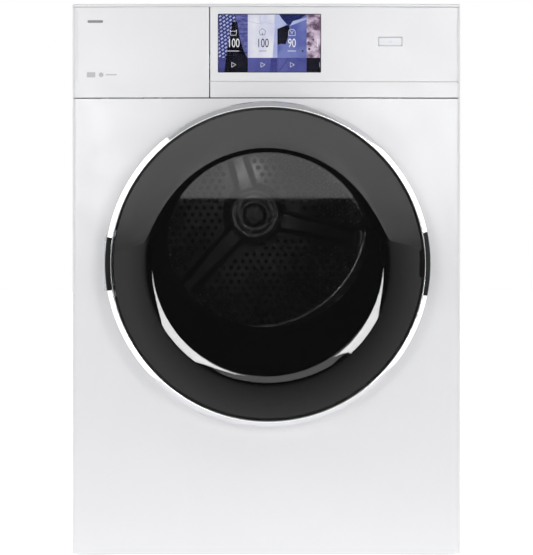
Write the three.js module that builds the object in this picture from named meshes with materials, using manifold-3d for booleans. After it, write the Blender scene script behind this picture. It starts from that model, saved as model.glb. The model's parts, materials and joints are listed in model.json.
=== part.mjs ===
// A 24-inch compact tumble dryer with a round porthole door, a touch display,
// a pull-out condensate tank and a belt-driven drum over a heat-pump base.
// Millimetres, +Z up, the front faces -Y, the origin is under the middle of the machine.
import * as THREE from "three";
import { mergeVertices } from "three/addons/utils/BufferGeometryUtils.js";
import Module from "manifold-3d";

const wasm = await Module();
wasm.setup();

// ---- driving dimensions ----
const WIDTH = 595;
const DEPTH = 640; // from the door's front to the rear cover
const HEIGHT = 850;
const DOOR_PROUD = 45; // the door's front stands this far out of the cabinet
const REAR_PROUD = 10;
const HALF_WIDTH = WIDTH / 2;
const FRONT_Y = -DEPTH / 2 + DOOR_PROUD; // the middle of the cabinet's bowed front
const BACK_Y = DEPTH / 2 - REAR_PROUD;
const BOW = 5; // the front's side edges lie this far behind its middle
const BOW_STEPS = 10;
const CORNER_RADIUS = 6;
const RETURN_Y = FRONT_Y + 26; // the front skins wrap round the sides to here
const SHEET = 2;
const SEAM = 1.6; // the dark joints between the front's panels
const GROOVE = 1.2; // the fine lines in the fascia
const GROOVE_DEPTH = 1.8;
const GAP = 0.4; // between pieces that touch

const FOOT_HEIGHT = 8;
const TRAY_FLOOR_Z = FOOT_HEIGHT + 6; // the upper face of the base tray's floor
const TOP_THICKNESS = 5;
const TOP_Z = HEIGHT - TOP_THICKNESS;
const PANEL_TOP_Z = 705; // the upper edge of the front panel
const FASCIA_Z = PANEL_TOP_Z + SEAM;
const STRIP_TOP_Z = 730;
const DRAWER_SEAM_X = -87;

const DISPLAY = { x0: -73.6, x1: 82.3, z0: 745.6, z1: 833.5 };
const KEY = { x0: 171, x1: 207, z0: 785.8, z1: 798.7 };

const DOOR_Z = 454;
const DOOR_RADIUS = 245;
const RIM_RADIUS = 234; // between the chrome ring and the smoked cover
const WINDOW_RADIUS = 172;
const OPENING_RADIUS = 180;
const PANEL_HOLE_RADIUS = 192;
const DISH_DEPTH = 30;
const ROUND = 32; // sides of a large round piece
const SMALL_ROUND = 16;

const HINGE_X = -240;
const HINGE_Y = FRONT_Y - 24;
const PIN_RADIUS = 2.5;
const KNUCKLE_RADIUS = 6;
const HINGE_LEAF = { x0: -243, x1: -192, y0: FRONT_Y - 9, y1: FRONT_Y - 5.5, halfHeight: 32 };

const DRUM_Z = 525;
const DRUM_RADIUS = 265;
const MOUTH_RADIUS = DRUM_RADIUS - 13; // the drum's front opening
const DRUM_FRONT_Y = -247;
const DRUM_BACK_Y = 208;
const WALL_Y = 186; // the flat of the drum's rear wall
const WALL_RADIUS = 211;
const HUB_RADIUS = 49;
const SPOKE_ANGLES = [107, 227, 347];
const BAFFLE_ANGLES = [47, 167, 287];
const ROLLER_RADIUS = 20;
const ROLLER_ANGLES = [-118, -62];

const MOTOR = { x: 165, z: 115, radius: 50, y0: 30, y1: 150 };
const BELT_Y = 168;
const BELT_WIDTH = 10;
const BELT_THICKNESS = 2.5;
const PULLEY_RADIUS = 9;
const IDLER = { x: 95, z: 138, radius: 14 };
const IDLER_PIVOT = { x: 40, z: 162 };
const FAN = { y0: -58, y1: -14, radius: 70 };

const PUMP = { x: 200, y: 262 };
const TANK = { x0: -284, x1: -96, y0: -262, y1: 185, z0: 786, z1: 826 };

// ---- materials ----
function material(color, roughness, metalness) {
  return new THREE.MeshStandardMaterial({ color, roughness, metalness });
}

const whitePaint = material(0xf1f1f3, 0.35, 0);
const whitePlastic = material(0xf3f3f5, 0.4, 0);
const greyPlastic = material(0x8d9094, 0.55, 0);
const darkPlastic = material(0x17181a, 0.45, 0);
const palePlastic = material(0xd9dcdf, 0.35, 0);
const chrome = material(0xdfe1e4, 0.05, 1);
const smokedPlastic = material(0x2b292b, 0.08, 0);
const glass = material(0xcfd6da, 0.03, 0);
const rubber = material(0x2a2a2c, 0.85, 0);
const felt = material(0xb9b4a8, 0.95, 0);
const zincSteel = material(0xa9adb0, 0.4, 0.9);
const drumSteel = material(0xb7b9bb, 0.3, 1);
const aluminium = material(0xc3c6c9, 0.4, 1);
const blackPaint = material(0x1c1c1e, 0.5, 0.2);
const boardGreen = material(0x1f5a3a, 0.5, 0);
const blackGlass = material(0x06070a, 0.05, 0);
const litScreen = material(0x2f3f96, 0.3, 0);

// ---- solids ----
function point(x, y) {
  return new THREE.Vector2(x, y);
}

function toSolid(geometry) {
  const bare = geometry.clone();
  bare.deleteAttribute("normal");
  bare.deleteAttribute("uv");
  const merged = mergeVertices(bare, 1e-3);
  const triVerts = new Uint32Array(merged.index.array);
  const vertProperties = merged.attributes.position.array;
  const solid = new wasm.Manifold(new wasm.Mesh({ numProp: 3, vertProperties, triVerts }));
  if (solid.volume() > 0) return solid;
  triVerts.reverse(); // a profile drawn the other way round
  return new wasm.Manifold(new wasm.Mesh({ numProp: 3, vertProperties, triVerts }));
}

function toGeometry(solid) {
  const mesh = solid.getMesh();
  const geometry = new THREE.BufferGeometry();
  geometry.setAttribute("position", new THREE.BufferAttribute(mesh.vertProperties, 3));
  geometry.setIndex(new THREE.BufferAttribute(mesh.triVerts, 1));
  geometry.computeVertexNormals();
  return geometry;
}

function join(...geometries) {
  return toGeometry(geometries.map(toSolid).reduce((whole, solid) => whole.add(solid)));
}

function cut(geometry, ...tools) {
  return toGeometry(tools.map(toSolid).reduce((rest, tool) => rest.subtract(tool), toSolid(geometry)));
}

function keep(geometry, within) {
  return toGeometry(toSolid(geometry).intersect(toSolid(within)));
}

function box(x0, x1, y0, y1, z0, z1) {
  const geometry = new THREE.BoxGeometry(x1 - x0, y1 - y0, z1 - z0);
  return geometry.translate((x0 + x1) / 2, (y0 + y1) / 2, (z0 + z1) / 2);
}

// A shape in the XY plane, raised from z0 to z1.
function raised(shape, z0, z1) {
  const geometry = new THREE.ExtrudeGeometry(shape, { depth: z1 - z0, bevelEnabled: false, curveSegments: 8 });
  return geometry.translate(0, 0, z0);
}

// A shape in the XZ plane, as seen from the front, carried from y0 back to y1.
function carried(shape, y0, y1) {
  const geometry = new THREE.ExtrudeGeometry(shape, { depth: y1 - y0, bevelEnabled: false, curveSegments: 8 });
  return geometry.rotateX(Math.PI / 2).translate(0, y1, 0);
}

// A profile of [radius, y] pairs turned about a line along Y. A ring's profile closes on itself.
function turned(profile, x, z, sides = ROUND) {
  const points = profile.map(([radius, y]) => point(radius, y));
  if (profile[0][0] > 0) points.push(points[0].clone());
  return new THREE.LatheGeometry(points, sides).translate(x, 0, z);
}

function rod(radius, y0, y1, x, z, sides = SMALL_ROUND) {
  return turned([[0, y0], [radius, y0], [radius, y1], [0, y1]], x, z, sides);
}

function ring(inner, outer, y0, y1, x, z, sides = ROUND) {
  return turned([[inner, y0], [outer, y0], [outer, y1], [inner, y1]], x, z, sides);
}

function post(radius, z0, z1, x, y, sides = SMALL_ROUND) {
  return new THREE.CylinderGeometry(radius, radius, z1 - z0, sides)
    .rotateX(Math.PI / 2)
    .translate(x, y, (z0 + z1) / 2);
}

function hose(points, radius, steps) {
  const section = new THREE.Shape().absarc(0, 0, radius, 0, 2 * Math.PI);
  const extrudePath = new THREE.CatmullRomCurve3(points.map((p) => new THREE.Vector3(...p)), false, "centripetal");
  return new THREE.ExtrudeGeometry(section, { steps, extrudePath, bevelEnabled: false, curveSegments: 3 });
}

// Turns a piece, made for angle 0 (along +X), to an angle in degrees round the drum's axis.
function atDrumAngle(geometry, degrees) {
  return geometry
    .translate(0, 0, -DRUM_Z)
    .rotateY(-THREE.MathUtils.degToRad(degrees))
    .translate(0, 0, DRUM_Z);
}

// ---- the bowed front ----
function frontFaceY(x) {
  return FRONT_Y + BOW * (x / HALF_WIDTH) ** 2;
}

// A quarter turn from side (on the flank) to the face, as points.
function cornerPoints(sign, inset) {
  const radius = CORNER_RADIUS - inset;
  const x = sign * (HALF_WIDTH - CORNER_RADIUS);
  const y = frontFaceY(x) + CORNER_RADIUS;
  return [0, 1, 2, 3].map((i) => {
    const angle = (i / 3) * (Math.PI / 2);
    return point(x + sign * radius * Math.cos(angle), y - radius * Math.sin(angle));
  });
}

// One edge of a front skin from left to right. At the cabinet's sides it wraps round the corner.
function skinEdge(x0, x1, inset) {
  const wrapsLeft = x0 <= -HALF_WIDTH;
  const wrapsRight = x1 >= HALF_WIDTH;
  const first = wrapsLeft ? x0 + CORNER_RADIUS : x0;
  const last = wrapsRight ? x1 - CORNER_RADIUS : x1;
  const points = [];
  if (wrapsLeft) points.push(point(x0 + inset, RETURN_Y), ...cornerPoints(-1, inset).slice(0, -1));
  for (let i = 0; i <= BOW_STEPS; i++) {
    const x = first + ((last - first) * i) / BOW_STEPS;
    points.push(point(x, frontFaceY(x) + inset));
  }
  if (wrapsRight) points.push(...cornerPoints(1, inset).reverse().slice(1), point(x1 - inset, RETURN_Y));
  return points;
}

function frontSkin(x0, x1, z0, z1, thickness, outside = 0) {
  const outer = skinEdge(x0, x1, -outside);
  const inner = skinEdge(x0, x1, thickness).reverse();
  return raised(new THREE.Shape([...outer, ...inner]), z0, z1);
}

// A level groove along a front skin, and an upright one near its end.
function levelGroove(x0, x1, z, width, depth) {
  return frontSkin(x0, x1, z, z + width, depth, 1);
}

function uprightGroove(x) {
  return box(x, x + GROOVE, FRONT_Y - 5, frontFaceY(x) + GROOVE, STRIP_TOP_Z, TOP_Z + 5);
}

// ---- cabinet ----
function frontPanel() {
  const skin = frontSkin(-HALF_WIDTH, HALF_WIDTH, FOOT_HEIGHT, PANEL_TOP_Z, SHEET);
  const porthole = rod(PANEL_HOLE_RADIUS, FRONT_Y - 20, FRONT_Y + 20, 0, DOOR_Z, ROUND);
  const latchSlot = box(199, 215, FRONT_Y - 20, FRONT_Y + 20, DOOR_Z - 11, DOOR_Z + 11);
  return cut(skin, porthole, latchSlot);
}

function sidePanel(sign) {
  const outer = sign * HALF_WIDTH;
  const inner = sign * (HALF_WIDTH - SHEET);
  const lip = sign * (HALF_WIDTH - 18);
  const front = RETURN_Y + GAP;
  const back = BACK_Y - GAP;
  const outline = [
    [outer, front],
    [outer, back],
    [lip, back],
    [lip, back - SHEET],
    [inner, back - SHEET],
    [inner, front],
  ];
  return raised(new THREE.Shape(outline.map(([x, y]) => point(x, y))), FOOT_HEIGHT, TOP_Z - GAP);
}

function topCover() {
  const edge = skinEdge(-HALF_WIDTH, HALF_WIDTH, 0);
  edge[0].y = BACK_Y;
  edge[edge.length - 1].y = BACK_Y;
  const plate = raised(new THREE.Shape(edge), TOP_Z, HEIGHT);
  const rimX = HALF_WIDTH - SHEET - 1;
  const rimFront = RETURN_Y + 40;
  const rimBack = BACK_Y - 8;
  const rims = [-1, 1].map((sign) => {
    const x = [sign * rimX, sign * (rimX - 2)].sort((a, b) => a - b);
    return box(x[0], x[1], rimFront, rimBack, TOP_Z - 10, TOP_Z + 1);
  });
  return join(plate, ...rims);
}

function rearPanel() {
  const inner = HALF_WIDTH - 18.5;
  let sheet = box(-inner, inner, BACK_Y - SHEET, BACK_Y, FOOT_HEIGHT + 4, TOP_Z - GAP);
  const slots = [];
  for (let i = 0; i < 9; i++) {
    const z = 60 + i * 14;
    slots.push(box(40, 220, BACK_Y - 5, BACK_Y + 5, z, z + 6));
  }
  slots.push(rod(190, BACK_Y - 5, BACK_Y + 5, 0, DRUM_Z, ROUND));
  sheet = cut(sheet, ...slots);
  return sheet;
}

// The pressed round cover that closes the air duct behind the drum.
function rearCover() {
  return turned(
    [
      [0, BACK_Y + REAR_PROUD],
      [185, BACK_Y + REAR_PROUD],
      [205, BACK_Y + 2.5],
      [222, BACK_Y + 2.5],
      [222, BACK_Y + GAP],
      [204, BACK_Y + GAP],
      [184, BACK_Y + REAR_PROUD - 2],
      [0, BACK_Y + REAR_PROUD - 2],
    ],
    0,
    DRUM_Z,
  );
}

function baseTray() {
  const x = HALF_WIDTH - 8;
  const y = [FRONT_Y + BOW + SHEET + 1, BACK_Y - 6];
  const tray = box(-x, x, ...y, FOOT_HEIGHT + 2, 70);
  const hollow = box(-x + 3, x - 3, y[0] + 3, y[1] - 3, TRAY_FLOOR_Z, 90);
  const sockets = footPlaces().map(([fx, fy]) => post(16, FOOT_HEIGHT + 2, 40, fx, fy));
  const bores = footPlaces().map(([fx, fy]) => post(6, 0, 60, fx, fy));
  return cut(join(cut(tray, hollow), ...sockets, motorSaddle(), tensionerPlate()), ...bores);
}

function footPlaces() {
  return [
    [-255, -215],
    [255, -215],
    [-255, 270],
    [255, 270],
  ];
}

function foot() {
  const pad = post(20, 0, FOOT_HEIGHT - 1, 0, 0);
  const stem = post(5, FOOT_HEIGHT - 2, 44, 0, 0);
  return join(pad, stem);
}

// ---- fascia ----
function controlPanel() {
  const x0 = DRAWER_SEAM_X + SEAM / 2;
  const skin = frontSkin(x0, HALF_WIDTH, FASCIA_Z, TOP_Z - GAP, 3);
  const grooves = [levelGroove(x0, HALF_WIDTH, STRIP_TOP_Z, GROOVE, GROOVE_DEPTH), uprightGroove(291.8)];
  const depth = [FRONT_Y - 10, FRONT_Y + 12];
  const displayHole = box(DISPLAY.x0 - 1, DISPLAY.x1 + 1, ...depth, DISPLAY.z0 - 1, DISPLAY.z1 + 1);
  const keyHole = box(KEY.x0 - 0.5, KEY.x1 + 0.5, ...depth, KEY.z0 - 0.5, KEY.z1 + 0.5);
  return cut(skin, displayHole, keyHole, ...grooves);
}

function displayFrame() {
  const { x0, x1, z0, z1 } = DISPLAY;
  const tray = box(x0 - 8, x1 + 8, FRONT_Y + 4.2, FRONT_Y + 14, z0 - 8, z1 + 8);
  const seat = box(x0 - 0.5, x1 + 0.5, FRONT_Y, FRONT_Y + 9, z0 - 0.5, z1 + 0.5);
  return cut(tray, seat);
}

function displayPanel() {
  const { x0, x1, z0, z1 } = DISPLAY;
  return box(x0 + 2, x1 - 2, FRONT_Y + 2.3, FRONT_Y + 8.5, z0 + 2, z1 - 2);
}

function displayGlass() {
  const { x0, x1, z0, z1 } = DISPLAY;
  return box(x0, x1, FRONT_Y + 0.2, FRONT_Y + 1.8, z0, z1);
}

function powerKey() {
  const { x0, x1, z0, z1 } = KEY;
  const face = frontFaceY((x0 + x1) / 2);
  const cap = box(x0, x1, face, face + 3, z0, z1);
  const stem = box(186, 192, face + 2, face + 12, z0 + 3, z1 - 3);
  return join(cap, stem);
}

function controlBoard() {
  const face = FRONT_Y + 16;
  const board = box(-60, 262, face, face + 1.6, 777, 833);
  const parts = [
    box(120, 150, face + 1, face + 7, 784, 812),
    box(-40, 0, face + 1, face + 9.4, 782, 806),
    box(40, 52, face + 1, face + 9.4, 782, 802),
    box(220, 250, face + 1, face + 6, 800, 820),
  ];
  return join(board, ...parts);
}

// ---- condensate tank ----
function drawerFront() {
  const x1 = DRAWER_SEAM_X - SEAM / 2;
  const skin = frontSkin(-HALF_WIDTH, x1, FASCIA_Z, TOP_Z - GAP, 3);
  const grooves = [levelGroove(-HALF_WIDTH, x1, STRIP_TOP_Z, GROOVE / 3, GROOVE / 3), uprightGroove(-290.4)];
  const left = -HALF_WIDTH + 5;
  const right = x1 - 2;
  const backing = box(left, right, FRONT_Y + 4.4, FRONT_Y + 12, PANEL_TOP_Z + 6, TOP_Z - 3);
  return join(cut(skin, ...grooves), backing);
}

function waterTank() {
  const { x0, x1, y0, y1, z0, z1 } = TANK;
  const wall = 2.5;
  const hull = box(x0, x1, y0, y1, z0, z1);
  const inside = box(x0 + wall, x1 - wall, y0 + wall, y1 - wall, z0 + wall, z1 - wall);
  const fillHole = box(-220, -150, y1 - 95, y1 - 25, z1 - 5, z1 + 5);
  const spout = box(-210, -170, y0 + 12, y0 + 44, z1 - 5, z1 + 5);
  return cut(hull, join(inside, fillHole, spout));
}

function tankHousing() {
  const x0 = TANK.x0 - 5;
  const x1 = TANK.x1 + 5;
  const y0 = RETURN_Y + 4;
  const y1 = TANK.y1 + 14;
  const tray = box(x0, x1, y0, y1, TANK.z0 - 4.5, TANK.z1 - 6);
  const inside = box(x0 + 2, x1 - 2, y0 - 5, y1 - 2, TANK.z0 - 2, TANK.z1 + 20);
  return cut(tray, inside);
}

function tankHose() {
  const top = TANK.z1 + 7.5;
  const route = [
    [PUMP.x, PUMP.y, 93],
    [PUMP.x + 15, 268, 120],
    [262, 274, 200],
    [262, 274, 700],
    [240, 270, 790],
    [180, 262, top - 4],
    [60, 250, top],
    [-120, 210, top],
    [-185, 140, top],
  ];
  return hose(route, 5, 24);
}

function condensatePump() {
  const { x, y } = PUMP;
  const body = post(24, 16, 62, x, y);
  const outlet = post(8, 60, 90, x, y);
  const base = box(x - 26, x + 26, y - 26, y + 26, TRAY_FLOOR_Z + GAP, 20);
  return join(body, outlet, base);
}

// ---- door opening ----
function frontBulkhead() {
  const plate = box(-286, 286, FRONT_Y + 19, FRONT_Y + 22, 176, 700);
  const collar = ring(OPENING_RADIUS, OPENING_RADIUS + 4, FRONT_Y - 0.5, FRONT_Y + 22, 0, DOOR_Z);
  const mouth = rod(OPENING_RADIUS, FRONT_Y + 10, FRONT_Y + 30, 0, DOOR_Z, ROUND);
  const drumRing = ring(MOUTH_RADIUS - 7, MOUTH_RADIUS - 4, FRONT_Y + 21, DRUM_FRONT_Y + 10, 0, DRUM_Z);
  const axles = rollerPlaces().map(([x, z]) => rod(5, FRONT_Y + 21, DRUM_FRONT_Y + 34, x, z));
  const filterSlot = box(-122, 122, FRONT_Y + 6, FRONT_Y + 18, 262, 296);
  return cut(join(cut(plate, mouth), collar, drumRing, ...axles), filterSlot);
}

function rollerPlaces() {
  const reach = DRUM_RADIUS + ROLLER_RADIUS + 0.8;
  return ROLLER_ANGLES.map((degrees) => {
    const angle = THREE.MathUtils.degToRad(degrees);
    return [reach * Math.cos(angle), DRUM_Z + reach * Math.sin(angle)];
  });
}

function drumRoller([x, z]) {
  return ring(5.6, ROLLER_RADIUS, DRUM_FRONT_Y + 6, DRUM_FRONT_Y + 28, x, z, 24);
}

function doorSeal() {
  const y = FRONT_Y - 0.9;
  const profile = [
    [OPENING_RADIUS + 0.5, y],
    [OPENING_RADIUS + 9, y],
    [OPENING_RADIUS + 9, y - 1],
    [OPENING_RADIUS + 5, y - 1.8],
    [OPENING_RADIUS + 0.5, y - 1.8],
  ];
  return turned(profile, 0, DOOR_Z);
}

function lintFilter() {
  const y = FRONT_Y + 6;
  const body = box(-120, 120, y + 1, y + 11, 176, 262);
  const hollow = box(-112, 112, y + 3, y + 9, 182, 300);
  return cut(body, hollow);
}

function doorLock() {
  const body = box(196, 222, FRONT_Y + 7.5, FRONT_Y + 18, DOOR_Z - 30, DOOR_Z + 30);
  const slot = box(199, 215, FRONT_Y, FRONT_Y + 14, DOOR_Z - 11, DOOR_Z + 11);
  return cut(body, slot);
}

// ---- door ----
// The smoked cover's front: a concave dish that falls from the rim to a flat window.
function dishY(radius) {
  const rimY = FRONT_Y - 39;
  const slope = THREE.MathUtils.smootherstep(RIM_RADIUS - radius, -12, RIM_RADIUS - WINDOW_RADIUS + 6);
  return rimY + DISH_DEPTH * slope;
}

function dishRadii(outer, inner, count) {
  return Array.from({ length: count + 1 }, (_, i) => outer + ((inner - outer) * i) / count);
}

function doorCover() {
  const thickness = 3;
  const radii = dishRadii(RIM_RADIUS - 3, WINDOW_RADIUS - 6, 7);
  const front = radii.map((radius) => [radius, dishY(radius)]);
  const back = radii.map((radius) => [radius, dishY(radius) + thickness]).reverse();
  const windowY = dishY(0);
  const dish = turned([[0, windowY + thickness], ...back, ...front, [0, windowY]], 0, DOOR_Z);
  return cut(dish, fingerSlot(RIM_RADIUS - 7));
}

// The slot beside the grip where fingertips reach behind the ring.
function fingerSlot(x0) {
  return box(x0, RIM_RADIUS, FRONT_Y - 60, FRONT_Y - 16, DOOR_Z - 22, DOOR_Z + 22);
}

function hingeNotch() {
  return box(-260, HINGE_X + 33, HINGE_Y - 9, FRONT_Y + 5, DOOR_Z - 50, DOOR_Z + 50);
}

function doorRing() {
  const y = (ahead) => FRONT_Y - ahead;
  const profile = [
    [RIM_RADIUS, y(30)],
    [RIM_RADIUS, y(41)],
    [RIM_RADIUS + 1.5, y(44)],
    [RIM_RADIUS + 4, y(45)],
    [RIM_RADIUS + 7.5, y(43.5)],
    [RIM_RADIUS + 10, y(39)],
    [DOOR_RADIUS, y(34)],
    [DOOR_RADIUS, y(12)],
    [DOOR_RADIUS - 3, y(4)],
    [DOOR_RADIUS - 5.5, y(4)],
    [DOOR_RADIUS - 3.5, y(12)],
    [DOOR_RADIUS - 3.5, y(30)],
  ];
  const seats = [sideInsertBlock(1, 1.2), sideInsertBlock(-1, 1.2)];
  return cut(turned(profile, 0, DOOR_Z), hingeNotch(), ...seats);
}

// The block of the ring's outer skin that a side insert takes up.
function sideInsertBlock(sign, clearance) {
  const halfHeight = (sign > 0 ? 48 : 40) + clearance;
  const inner = sign * (RIM_RADIUS + 3 - clearance / 2);
  const outer = sign * (DOOR_RADIUS + 10);
  const x = [inner, outer].sort((a, b) => a - b);
  return box(x[0], x[1], FRONT_Y - 60, FRONT_Y - (10 - clearance), DOOR_Z - halfHeight, DOOR_Z + halfHeight);
}

// A black insert in the ring: the grip on the right, the hinge's cap on the left.
function sideInsert(sign) {
  const y = (ahead) => FRONT_Y - ahead;
  const rear = y(sign > 0 ? 12 : 33.8); // the hinge's cap leaves room for the pin behind it
  const profile = [
    [RIM_RADIUS + 1, y(42.5)],
    [RIM_RADIUS + 4, y(44.6)],
    [RIM_RADIUS + 7.5, y(43)],
    [RIM_RADIUS + 10, y(38.5)],
    [DOOR_RADIUS - 0.3, y(34)],
    [DOOR_RADIUS - 0.3, rear],
    [RIM_RADIUS + 5, rear],
  ];
  return keep(turned(profile, 0, DOOR_Z), sideInsertBlock(sign, 0));
}

function doorFrame() {
  const clearance = 3.8;
  const radii = dishRadii(RIM_RADIUS - 1.5, WINDOW_RADIUS + 1, 6);
  const front = radii.map((radius) => [radius, dishY(radius) + clearance]);
  const rear = FRONT_Y - 3.2;
  const profile = [...front, [WINDOW_RADIUS + 1, rear], [DOOR_RADIUS - 6, rear], [DOOR_RADIUS - 4.2, rear - 8]];
  profile.push([DOOR_RADIUS - 4.2, FRONT_Y - 29.5], [RIM_RADIUS - 1.5, FRONT_Y - 29.5]);
  const { x0, x1, y0, halfHeight } = HINGE_LEAF;
  const leafSeat = box(x0, x1 + 0.6, y0 - 0.6, FRONT_Y, DOOR_Z - halfHeight - 0.6, DOOR_Z + halfHeight + 0.6);
  const gripSeat = sideInsertBlock(1, GAP);
  return cut(turned(profile, 0, DOOR_Z), hingeNotch(), fingerSlot(RIM_RADIUS - 26), leafSeat, gripSeat);
}

function doorGlass() {
  const y = (behind) => FRONT_Y + behind;
  return turned(
    [
      [0, y(66)],
      [128, y(66)],
      [143, y(60)],
      [150, y(48)],
      [166, y(1.6)],
      [176, y(1.6)],
      [176, y(-2.6)],
      [162, y(-2.6)],
      [146, y(47)],
      [140, y(57)],
      [127, y(62)],
      [0, y(62)],
    ],
    0,
    DOOR_Z,
  );
}

function latchHook() {
  const neck = box(203, 209, FRONT_Y - 2.9, FRONT_Y + 12, DOOR_Z - 7, DOOR_Z + 7);
  const nose = box(203, 212, FRONT_Y + 8, FRONT_Y + 12, DOOR_Z - 7, DOOR_Z + 7);
  return join(neck, nose);
}

// A fixed plate with two ears that reach forward and outward to the pin.
function hingeBracket() {
  const plateY = [frontFaceY(-200) - 3.1, frontFaceY(-200) - 0.7];
  const plate = box(-226, -200, ...plateY, DOOR_Z - 45, DOOR_Z + 45);
  const earShape = new THREE.Shape();
  const webAngle = THREE.MathUtils.degToRad(40);
  earShape.absarc(HINGE_X, HINGE_Y, KNUCKLE_RADIUS, webAngle + Math.PI / 2, webAngle + 1.5 * Math.PI);
  earShape.lineTo(-204, plateY[1] - 1);
  earShape.lineTo(-224, plateY[1] - 1);
  earShape.closePath();
  const ears = [-1, 1].map((sign) => {
    const z = [sign * 33, sign * 41].sort((a, b) => a - b);
    return raised(earShape, DOOR_Z + z[0], DOOR_Z + z[1]);
  });
  const bore = post(PIN_RADIUS + GAP, DOOR_Z - 60, DOOR_Z + 60, HINGE_X, HINGE_Y);
  return cut(join(plate, ...ears), bore);
}

function hingePin() {
  const pin = post(PIN_RADIUS, DOOR_Z - 43, DOOR_Z + 43, HINGE_X, HINGE_Y);
  const head = post(PIN_RADIUS + 2, DOOR_Z + 41.4, DOOR_Z + 44, HINGE_X, HINGE_Y);
  return join(pin, head);
}

// The moving leaf: a knuckle round the pin and a plate screwed to the floor of the frame's notch.
function hingeArm() {
  const knuckle = post(KNUCKLE_RADIUS, DOOR_Z - 32, DOOR_Z + 32, HINGE_X, HINGE_Y);
  const { x0, x1, y0, y1, halfHeight } = HINGE_LEAF;
  const z = [DOOR_Z - halfHeight, DOOR_Z + halfHeight];
  const web = box(x0, x0 + 6, HINGE_Y, y1, ...z);
  const leaf = box(x0, x1, y0, y1, ...z);
  const bore = post(PIN_RADIUS + GAP, DOOR_Z - 60, DOOR_Z + 60, HINGE_X, HINGE_Y);
  return cut(join(knuckle, web, leaf), bore);
}

// ---- drum ----
function drumShell() {
  const r = DRUM_RADIUS;
  return turned(
    [
      [MOUTH_RADIUS, DRUM_FRONT_Y],
      [r - 3, DRUM_FRONT_Y],
      [r, DRUM_FRONT_Y + 3],
      [r, DRUM_BACK_Y],
      [r - 2, DRUM_BACK_Y],
      [r - 2, DRUM_FRONT_Y + 4],
      [r - 4, DRUM_FRONT_Y + 2],
      [MOUTH_RADIUS, DRUM_FRONT_Y + 2],
    ],
    0,
    DRUM_Z,
  );
}

function drumRearWall() {
  const outer = DRUM_RADIUS - 2.5;
  const plate = turned(
    [
      [0, WALL_Y - 14],
      [17, WALL_Y - 14],
      [20, WALL_Y - 10],
      [HUB_RADIUS - 3, WALL_Y - 10],
      [HUB_RADIUS + 3, WALL_Y],
      [WALL_RADIUS, WALL_Y],
      [outer - 6, WALL_Y - 24],
      [outer, WALL_Y - 26],
      [outer, WALL_Y - 6],
      [WALL_RADIUS + 2, WALL_Y + 3],
      [0, WALL_Y + 3],
    ],
    0,
    DRUM_Z,
  );
  return join(plate, ...SPOKE_ANGLES.map(spoke));
}

function spoke(degrees) {
  const reach = WALL_RADIUS - 6;
  const shape = new THREE.Shape([
    point(HUB_RADIUS - 12, DRUM_Z - 17),
    point(reach - 14, DRUM_Z - 12),
    point(reach, DRUM_Z),
    point(reach - 14, DRUM_Z + 12),
    point(HUB_RADIUS - 12, DRUM_Z + 17),
  ]);
  return atDrumAngle(carried(shape, WALL_Y - 7, WALL_Y + 1), degrees);
}

// A lifter rib on the inside of the drum. It starts behind the door's glass bowl, which it sweeps past.
function drumBaffle(degrees) {
  const base = DRUM_RADIUS - 5;
  const front = DRUM_FRONT_Y + 42;
  const shape = new THREE.Shape([
    point(base - 1, DRUM_Z - 28),
    point(base - 20, DRUM_Z - 18),
    point(base - 42, DRUM_Z - 8),
    point(base - 46, DRUM_Z),
    point(base - 42, DRUM_Z + 8),
    point(base - 20, DRUM_Z + 18),
    point(base - 1, DRUM_Z + 28),
  ]);
  return atDrumAngle(carried(shape, front, WALL_Y - 34), degrees);
}

function drumSpider() {
  const hub = rod(38, WALL_Y + 3.4, WALL_Y + 26, 0, DRUM_Z, 24);
  const shaft = rod(12, WALL_Y + 20, BACK_Y - 14, 0, DRUM_Z);
  const arms = SPOKE_ANGLES.map((degrees) => {
    const arm = box(20, WALL_RADIUS - 20, WALL_Y + 3.4, WALL_Y + 15, DRUM_Z - 14, DRUM_Z + 14);
    return atDrumAngle(arm, degrees);
  });
  return join(hub, shaft, ...arms);
}

function rearBulkhead() {
  const plate = box(-276, 276, DRUM_BACK_Y + 20, DRUM_BACK_Y + 23, 90, 778);
  const duct = ring(228, 250, DRUM_BACK_Y + 22, DRUM_BACK_Y + 40, 0, DRUM_Z);
  const recess = rod(240, DRUM_BACK_Y + 10, DRUM_BACK_Y + 36, 0, DRUM_Z, ROUND);
  const back = rod(245, DRUM_BACK_Y + 36.5, DRUM_BACK_Y + 40, 0, DRUM_Z, ROUND);
  const bore = rod(26.5, DRUM_BACK_Y, DRUM_BACK_Y + 80, 0, DRUM_Z);
  return cut(join(cut(join(plate, duct), recess), back), bore);
}

function rearFelt() {
  return ring(DRUM_RADIUS - 20, DRUM_RADIUS - 3, DRUM_BACK_Y + 0.6, DRUM_BACK_Y + 19.4, 0, DRUM_Z);
}

function bearingHousing() {
  const profile = [
    [20.4, DRUM_BACK_Y + 30],
    [26, DRUM_BACK_Y + 30],
    [26, DRUM_BACK_Y + 40.5],
    [60, DRUM_BACK_Y + 40.5],
    [60, DRUM_BACK_Y + 44],
    [30, DRUM_BACK_Y + 46],
    [26, DRUM_BACK_Y + 56],
    [20.4, DRUM_BACK_Y + 56],
  ];
  return turned(profile, 0, DRUM_Z, 24);
}

function drumBearing() {
  return ring(12.6, 20, DRUM_BACK_Y + 32, DRUM_BACK_Y + 54, 0, DRUM_Z, 24);
}

// ---- drive ----
function convexHull(points) {
  const sorted = [...points].sort((a, b) => a.x - b.x || a.y - b.y);
  const turn = (o, a, b) => (a.x - o.x) * (b.y - o.y) - (a.y - o.y) * (b.x - o.x);
  const half = (list) => {
    const chain = [];
    for (const p of list) {
      while (chain.length > 1 && turn(chain.at(-2), chain.at(-1), p) <= 0) chain.pop();
      chain.push(p);
    }
    return chain.slice(0, -1);
  };
  return [...half(sorted), ...half(sorted.reverse())];
}

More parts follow.
